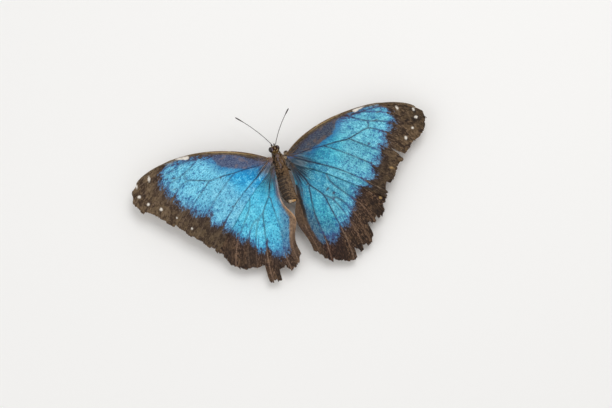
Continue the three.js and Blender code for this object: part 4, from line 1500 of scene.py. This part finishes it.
def eye_finish():
    finish = Finish("eye facets")
    where = finish.place()
    facets = where.cells(11.0)
    depth = where.noise(0.7, 2.0)
    colour = depth.step(0.3, 0.7).mix((24, 17, 15), (52, 34, 28))
    colour = (facets.step(0.35, 0.55) * 0.3).mix(colour, (14, 9, 9))
    return finish.set(Base_Color=colour, Roughness=0.28, Specular_IOR_Level=0.35,
                      Normal=facets.bump(0.3, 0.02))


EYE_SHIFT = {"left": (-0.05, 0.0, -0.15), "right": (0.0, 0.0, -0.6)}
eye_material = eye_finish()
for side in ("left", "right"):
    low, high = (Vector(corner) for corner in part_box(f"eye_{side}"))
    eye, ball = new_ball(f"eye_dome_{side}", 64, 40)
    middle = (high + low) / 2 + Vector(EYE_SHIFT[side]) * MM
    put_points(eye.data, ball * ((high - low) / 2) + middle)
    bpy.ops.object.shade_smooth()
    dress(eye, eye_material, "eye", f"eye_{side}")


# ---- feelers --------------------------------------------------------------------------------
# Thin horny stalks of many short joints that end in slim clubs.  Both are rooted on the brow
# between the eyes, and the right one is held up more steeply.

ANTENNAE = {
    "antenna_left": [(-0.6, 5.5, 10.55), (-4.6, 14.2, 11.9), (-11.5, 21.9, 13.2)],
    "antenna_right": [(0.6, 5.5, 10.55), (4.6, 11.4, 15.2), (10.9, 15.6, 20.4)],
}
STALK = 0.14    # radii
CLUB = 0.27
CLUB_RISE = (0.78, 0.92)     # the shares along at which the stalk widens to the club
CLUB_END = (1.004, 0.974)    # and those between which the club is rounded off
STALK_STEPS = 240
JOINTS = 46
JOINT_DEPTH = 0.1


def drawn_curve(first, middle, last, steps):
    """How far along, and the points, of a curve from first to last that is drawn to middle."""
    t = np.linspace(0, 1, steps)
    first, middle, last = (np.array(point)[None] for point in (first, middle, last))
    u = t[:, None]
    return t, first * (1 - u) ** 2 + middle * 2 * u * (1 - u) + last * u ** 2


def jointed(along, joints, depth, power=1.0):
    """A thickness of 1 in the middle of each joint, less by depth between two of them."""
    return 1 - depth + depth * np.abs(np.sin(np.pi * joints * along)) ** power


def antenna_route(root, middle, tip):
    t, points = drawn_curve(root, middle, tip, STALK_STEPS)
    radii = STALK + (CLUB - STALK) * eased(ramp(t, *CLUB_RISE))
    return points, radii * jointed(t, JOINTS, JOINT_DEPTH) * np.sqrt(ramp(t, *CLUB_END))


def feeler_finish():
    finish = Finish("feeler shell")
    grain = finish.place().noise(2.4, 2.0)
    ring = (finish.reading("along") * JOINTS).fraction().step(0.2, 0.05)
    colour = grain.step(0.3, 0.7).mix((26, 20, 18), (50, 38, 32))
    colour = (ring * 0.4).mix(colour, (104, 88, 72))
    return finish.set(Base_Color=colour, Roughness=0.55, Normal=grain.bump(0.3, 0.03))


feeler_material = feeler_finish()
for name, route in ANTENNAE.items():
    points, radii = antenna_route(*route)
    stalk = strands(name.replace("antenna", "feeler"), [(points, radii)], sides=4)
    carry_nearest(stalk, points, {"along": np.linspace(0, 1, len(points))})
    dress(stalk, feeler_material, "feeler", name)


# ---- palps and forelegs ---------------------------------------------------------------------
# Two short feelers stand up in front of the face, and the front pair of legs is kept folded
# under it.  Both are soft brushes: a thin jointed core clothed in stiff hair.

def bowed_route(points, radii, steps=40):
    """A smooth route through the points, with a radius at each step."""
    route = smooth_route(points, max(2, steps // (len(points) - 1)))
    return route, np.interp(np.linspace(0, 1, len(route)), np.linspace(0, 1, len(radii)), radii)


def along_route(route):
    """The direction of a route at each of its points, and two directions across it."""
    ahead = unit(np.gradient(route, axis=0))
    across = unit(np.cross(ahead, (0.31, 0.12, 0.94)))
    return ahead, across, np.cross(ahead, across)


BRUSH_STRAY = 0.15
BRUSH_BEND = 0.25


def brush_hair(name, routes, count, seed, *bounds):
    """Hair that stands out around rods, pointing along them."""
    source = np.random.RandomState(seed)
    hairs = []
    for index, (route, radii) in enumerate(routes):
        ahead, across, over = along_route(route)
        step = source.randint(0, len(route), count)
        turn = source.uniform(0, 2 * np.pi, count)
        outward = across[step] * np.cos(turn)[:, None] + over[step] * np.sin(turn)[:, None]
        u = (index + turn / (2 * np.pi)) / len(routes)
        hairs.append([route[step] + outward * radii[step][:, None],
                      ahead[step] + source.normal(0, BRUSH_STRAY, (count, 3)), outward,
                      np.stack([u, step / len(route)], -1) * MAP_SHARE])
    hairs = [np.vstack(part) for part in zip(*hairs)]
    sizes = tuft_sizes(source, count * len(routes), *bounds)
    return grow_tufts(name, *hairs, sizes, BRUSH_BEND)


def core_finish():
    finish = Finish("limb skin")
    grain = finish.place().noise(2.0, 3.0, 0.6)
    colour = grain.step(0.3, 0.7).mix((56, 42, 34), (96, 76, 60))
    return finish.set(Base_Color=colour, Roughness=0.7, Normal=grain.bump(0.5, 0.04))


def brush_finish():
    finish = Finish("brush hair")
    grain = finish.place().noise(0.9, 2.0)
    colour = grain.step(0.35, 0.65).mix((66, 48, 38), (118, 94, 76))
    colour = colour.scaled(each_hair(finish, 0.7, 0.5, 0.3))
    return finish.set(Base_Color=colour, Roughness=0.65, Specular_IOR_Level=0.35)


core_material = core_finish()
brush_material = brush_finish()
# The middles of the head and the thorax, and each limb's route beside them, on the right.
HEAD_X = -0.55
BODY_X = -0.5
LIMBS = {
    "palp": {
        "route": [(0.5, 5.2, 7.1), (0.55, 6.1, 7.5), (0.6, 6.42, 8.4), (0.6, 6.3, 9.1)],
        "x": HEAD_X, "radii": [0.16, 0.24, 0.22, 0.1], "hair": (0.294, 0.525), "seed": 5,
    },
    "foreleg": {
        "route": [(1.6, 1.0, 6.3), (1.75, 2.4, 5.4), (1.55, 3.6, 5.35), (1.3, 4.5, 5.85)],
        "x": BODY_X, "radii": [0.14, 0.22, 0.22, 0.12], "hair": (0.315, 0.5625), "seed": 6,
    },
}
LIMB_HAIRS = 420
LIMB_HAIR = [(0.04, 0.06), (0.3, 0.78)]    # width and lift
for limb, made in LIMBS.items():
    routes = [bowed_route(np.array(made["route"]) * (side, 1, 1) + (made["x"], 0, 0), made["radii"])
              for side in (-1, 1)]
    core = strands(f"{limb}_core", routes, 4)
    dress(core, core_material, "fur", f"{limb}_left", f"{limb}_right")
    hair = brush_hair(f"{limb}_hair", routes, LIMB_HAIRS, made["seed"], made["hair"], *LIMB_HAIR)
    dress(hair, brush_material, "fur")


# ---- tongue ---------------------------------------------------------------------------------
# A horny drinking tube of fine rings.  It is coiled like a watch spring and carried under the
# face, between the palps.

TONGUE_MIDDLE = (HEAD_X, 4.55, 5.55)
COIL_TURNS = 1.4
COIL_STEPS = 140
COIL_RADIUS = 1.2
COIL_TIGHTENING = 0.57    # mm less of radius with each turn
COIL_HEIGHT = 0.9         # of its length
TONGUE_RINGS = 60         # in each turn
RING_DEPTH = 0.07
TONGUE_RADII = (0.24, 0.15)
turn = np.linspace(0, COIL_TURNS, COIL_STEPS)
around = 2 * np.pi * turn + np.pi / 2
coil_radius = COIL_RADIUS - COIL_TIGHTENING * turn
coil = TONGUE_MIDDLE + np.stack([
    np.zeros_like(turn),
    -coil_radius * np.cos(around),
    coil_radius * np.sin(around) * COIL_HEIGHT,
], -1)
thickness = np.linspace(*TONGUE_RADII, COIL_STEPS) * jointed(turn, TONGUE_RINGS, RING_DEPTH)
tongue = strands("tongue_coil", [(coil, thickness)], 5)
dress(tongue, feeler_material, "feeler", "proboscis")
carry(tongue.data, "along", np.zeros(len(tongue.data.vertices)))


# ---- legs -----------------------------------------------------------------------------------
# Four walking legs of hollow horny joints: thigh, shin, and a foot of five short rings that ends
# in two claws.  Shin and foot carry small spines; the feet press flat on the floor.

LEGS = {
    "midleg": {"hip": (1.7, -1.45, 5.9), "knee": (7.6, 0.6, 7.5), "ankle": (11.2, 1.8, 0.95),
               "claws": (13.5, 5.9, 0.07)},
    "hindleg": {"hip": (1.65, -4.35, 5.9), "knee": (6.3, -8.6, 6.9), "ankle": (7.8, -14.4, 0.95),
                "claws": (8.8, -21.6, 0.07)},
}
# Each part's ends, how far it bows upwards, and its radii.
LEG_PARTS = [
    ("hip", "knee", 0.25, [0.3, 0.42, 0.4, 0.26]),
    ("knee", "ankle", 0.15, [0.24, 0.26, 0.24, 0.2]),
    ("ankle", "claws", -0.72, [0.18, 0.17, 0.17, 0.15]),
]
LEG_STEPS = 61
FOOT_RINGS = 5
FOOT_DEPTH = 0.18                # of the waists between the foot's rings
FOOT_POWER = 0.6
SPINE_STEPS = slice(4, -3, 3)    # the steps of a leg's part that carry a spine
SPINE_ROOT = 0.7                 # of the leg's radius
SPINE_AHEAD = 0.3
SPINE_OUT = 0.28
SPINE_RADII = [0.035, 0.006]
# A claw: on, aside and up from the foot's end, and its radius there.
CLAW = [(0.0, 0.0, 0.1, 0.06), (0.12, 0.14, 0.16, 0.05), (0.26, 0.22, 0.05, 0.012)]


def leg_finish():
    finish = Finish("leg shell")
    where = finish.place()
    grain = where.noise(2.2, 3.0, 0.6)
    scales = where.cells(7.0)
    colour = grain.step(0.3, 0.7).mix((62, 48, 38), (108, 88, 70))
    colour = (scales.step(0.3, 0.6) * 0.4).mix(colour, (44, 34, 28))
    return finish.set(Base_Color=colour, Roughness=0.6, Normal=scales.bump(0.5, 0.04))


def make_leg(name, joints, side):
    source = np.random.RandomState(len(name))
    joints = {key: np.array(at) * (side, 1, 1) + (BODY_X, 0, 0) for key, at in joints.items()}
    routes = []
    for start, end, bow, radii in LEG_PARTS:
        first, last = joints[start], joints[end]
        t, route = drawn_curve(first, (first + last) / 2 + (0, 0, bow), last, LEG_STEPS)
        width = np.interp(t, np.linspace(0, 1, len(radii)), radii)
        if start == "ankle":
            width = width * jointed(t, FOOT_RINGS, FOOT_DEPTH, FOOT_POWER)
        routes.append((route, width))
        if start == "hip":
            continue
        ahead, across, over = along_route(route)
        for spine in range(LEG_STEPS)[SPINE_STEPS]:
            turned = source.uniform(0, 2 * np.pi)
            outward = across[spine] * np.cos(turned) + over[spine] * np.sin(turned)
            root = route[spine] + outward * width[spine] * SPINE_ROOT
            point = root + ahead[spine] * SPINE_AHEAD + outward * SPINE_OUT
            routes.append((np.array([root, point]), SPINE_RADII))
    foot = joints["claws"]
    ahead = unit((foot - joints["ankle"]) * FROM_ABOVE)
    across = np.array([-ahead[1], ahead[0], 0])
    for hand in (-1, 1):
        hook = [foot + ahead * on + across * hand * aside + (0, 0, rise)
                for on, aside, rise, _ in CLAW]
        routes.append((np.array(hook), [radius for *_, radius in CLAW]))
    leg = strands(name, routes, 5)
    points = mesh_points(leg.data)
    points[:, 2] = np.maximum(points[:, 2], 0)
    put_points(leg.data, points)
    return leg


leg_material = leg_finish()
for leg_name, joints in LEGS.items():
    for side_name, side in (("left", -1), ("right", 1)):
        leg = make_leg(f"{leg_name}_{side_name}", joints, side)
        parts = [f"{leg_name}_{side_name}_{part}" for part in ("femur", "tibia", "tarsus")]
        dress(leg, leg_material, "leg", *parts)


# ---- hair on the wings ----------------------------------------------------------------------
# Long soft hair runs out over the wing roots and along the flap beside the abdomen, and a
# fringe of narrow scales edges each wing.

# Where hair grows: places from and to, shares out from and to, how many, how long, and its kind,
# 0 for brown, 1 for grey lilac, 2 for tan and 3 for slate.
ROOT_HAIR = {
    "forewing_left": [(0, 8, 0.0, 0.05, 500, 1.3, 0), (2.5, 8, 0.02, 0.10, 500, 1.6, 1),
                      (0, 2.5, 0.0, 0.3, 500, 1.2, 2), (7.2, 8, 0.02, 0.12, 160, 1.8, 2)],
    "forewing_right": [(0, 8, 0.0, 0.05, 400, 1.2, 0), (2.5, 8, 0.02, 0.10, 400, 1.4, 3),
                       (0, 2.5, 0.0, 0.3, 400, 1.2, 0)],
    "hindwing_left": [(4.5, 8, 0.0, 0.09, 400, 1.3, 1), (6.8, 8, 0.10, 0.29, 450, 1.6, 1),
                      (7.3, 8, 0.18, 0.34, 350, 1.4, 1),
                      (7.2, 8, 0.4, 0.95, 900, 1.1, 0)],
    "hindwing_right": [(4.5, 8, 0.0, 0.09, 400, 1.3, 3), (6.6, 8, 0.12, 0.33, 300, 1.6, 3),
                       (7.2, 8, 0.3, 0.95, 900, 1.1, 0)],
}


ROOT_HAIR_LENGTHS = (0.6, 1.2)                   # of the length given above
ROOT_HAIR_SIZES = [(0.02, 0.2), (0.03, 0.06)]    # lift and width
ROOT_HAIR_STRAY = 0.12
ROOT_HAIR_BEND = 0.2
HAIR_END = 0.97               # the share of the wing that is left, out to which hair grows
SMALL_STEP = (0.02, 0.004)    # of place and of share out, to read the directions from


def wing_frame(wing, place, out):
    """Points on the upper side of a wing, the way outwards and the way up from it."""
    points = wing_point(wing, place, out)
    aside, outwards = SMALL_STEP
    ways = wing_point(wing, place, out + outwards) - points
    across = wing_point(wing, place + aside, out) - wing_point(wing, place - aside, out)
    normals = np.cross(ways, across)
    normals = unit(normals * np.sign(normals[:, 2:]))
    return points + (0, 0, MEMBRANE / 2), unit(ways), normals


def make_root_hair(name, wing):
    source = np.random.RandomState(wing["seed"])
    hairs = []
    for first, last, inner, outer, count, length, kind in ROOT_HAIR[name]:
        hairs.append([source.uniform(first, last, count), source.uniform(inner, outer, count),
                      length * source.uniform(*ROOT_HAIR_LENGTHS, count), np.full(count, kind)])
    place, out, lengths, kinds = np.hstack(hairs)
    kept = out < HAIR_END - worn_away(wing, place) / full_reach(wing, place)
    place, out, lengths, kinds = (part[kept] for part in (place, out, lengths, kinds))
    inside = np.clip(place, SMALL_STEP[0], LAST_PLACE - SMALL_STEP[0])
    points, ways, normals = wing_frame(wing, inside, out)
    ways = ways + source.normal(0, ROOT_HAIR_STRAY, ways.shape)
    lift, widths = tuft_sizes(source, len(place), *ROOT_HAIR_SIZES)
    maps = np.stack([place / LAST_PLACE, out], -1) * MAP_SHARE
    hair = grow_tufts(name.replace("wing", "wing_hair"), points, ways, normals, maps,
                      (lengths, widths, lift), ROOT_HAIR_BEND)
    carry(hair.data, "kind", np.repeat(kinds, CORNERS))
    return hair


FRINGE_SCALES = 1500
FRINGE_SPAN = (0.05, 7.95)
FRINGE_ROOT = 0.004       # the share out by which the scales are rooted inside the edge
FRINGE_SIZES = [(0.15, 0.5), (0.08, 0.15), (-0.2, 0.2)]    # length, width and lift
FRINGE_STRAY = 0.3
FRINGE_BEND = 0.1
FRINGE_THICKNESS = 0.3    # of a scale's width
PALE_FROM = 0.8           # the fringe is pale midway between two veins


def make_fringe(name, wing):
    source = np.random.RandomState(wing["seed"] + 50)
    count = FRINGE_SCALES
    place = np.sort(source.uniform(*FRINGE_SPAN, count))
    out = 1 - worn_away(wing, place) / full_reach(wing, place)
    points, ways, normals = wing_frame(wing, place, out - FRINGE_ROOT)
    ways = ways + source.normal(0, FRINGE_STRAY, ways.shape) * (1, 1, 0.3)
    sizes = tuft_sizes(source, count, *FRINGE_SIZES)
    maps = np.stack([place / LAST_PLACE, out], -1) * MAP_SHARE
    points = points - (0, 0, MEMBRANE / 2)
    fringe = grow_tufts(name.replace("wing", "wing_fringe"), points, ways, normals, maps, sizes,
                        FRINGE_BEND, FRINGE_THICKNESS)
    pale = (between_veins(place) > PALE_FROM) * source.uniform(0, 1, count)
    carry(fringe.data, "kind", np.repeat(2 * pale, CORNERS))
    return fringe


def wing_hair_finish():
    finish = Finish("wing hair")
    kind = finish.reading("kind")
    grain = finish.place().noise(0.8, 2.0)
    colour = painted(
        grain.step(0.3, 0.7).mix((78, 62, 50), (110, 88, 72)),
        (kind.step(0.3, 1.0), (122, 116, 132)),
        (kind.step(1.2, 2.0), (160, 134, 106)),
        (kind.step(2.2, 3.0), (74, 78, 86)),
    ).scaled(each_hair(finish, 0.65, 0.55, 0.2))
    return finish.set(Base_Color=colour, Roughness=0.65, Specular_IOR_Level=0.3)


wing_hair_material = wing_hair_finish()
for name, wing in WINGS.items():
    dress(make_root_hair(name, wing), wing_hair_material, "wing")
    dress(make_fringe(name, wing), wing_hair_material, "wing")
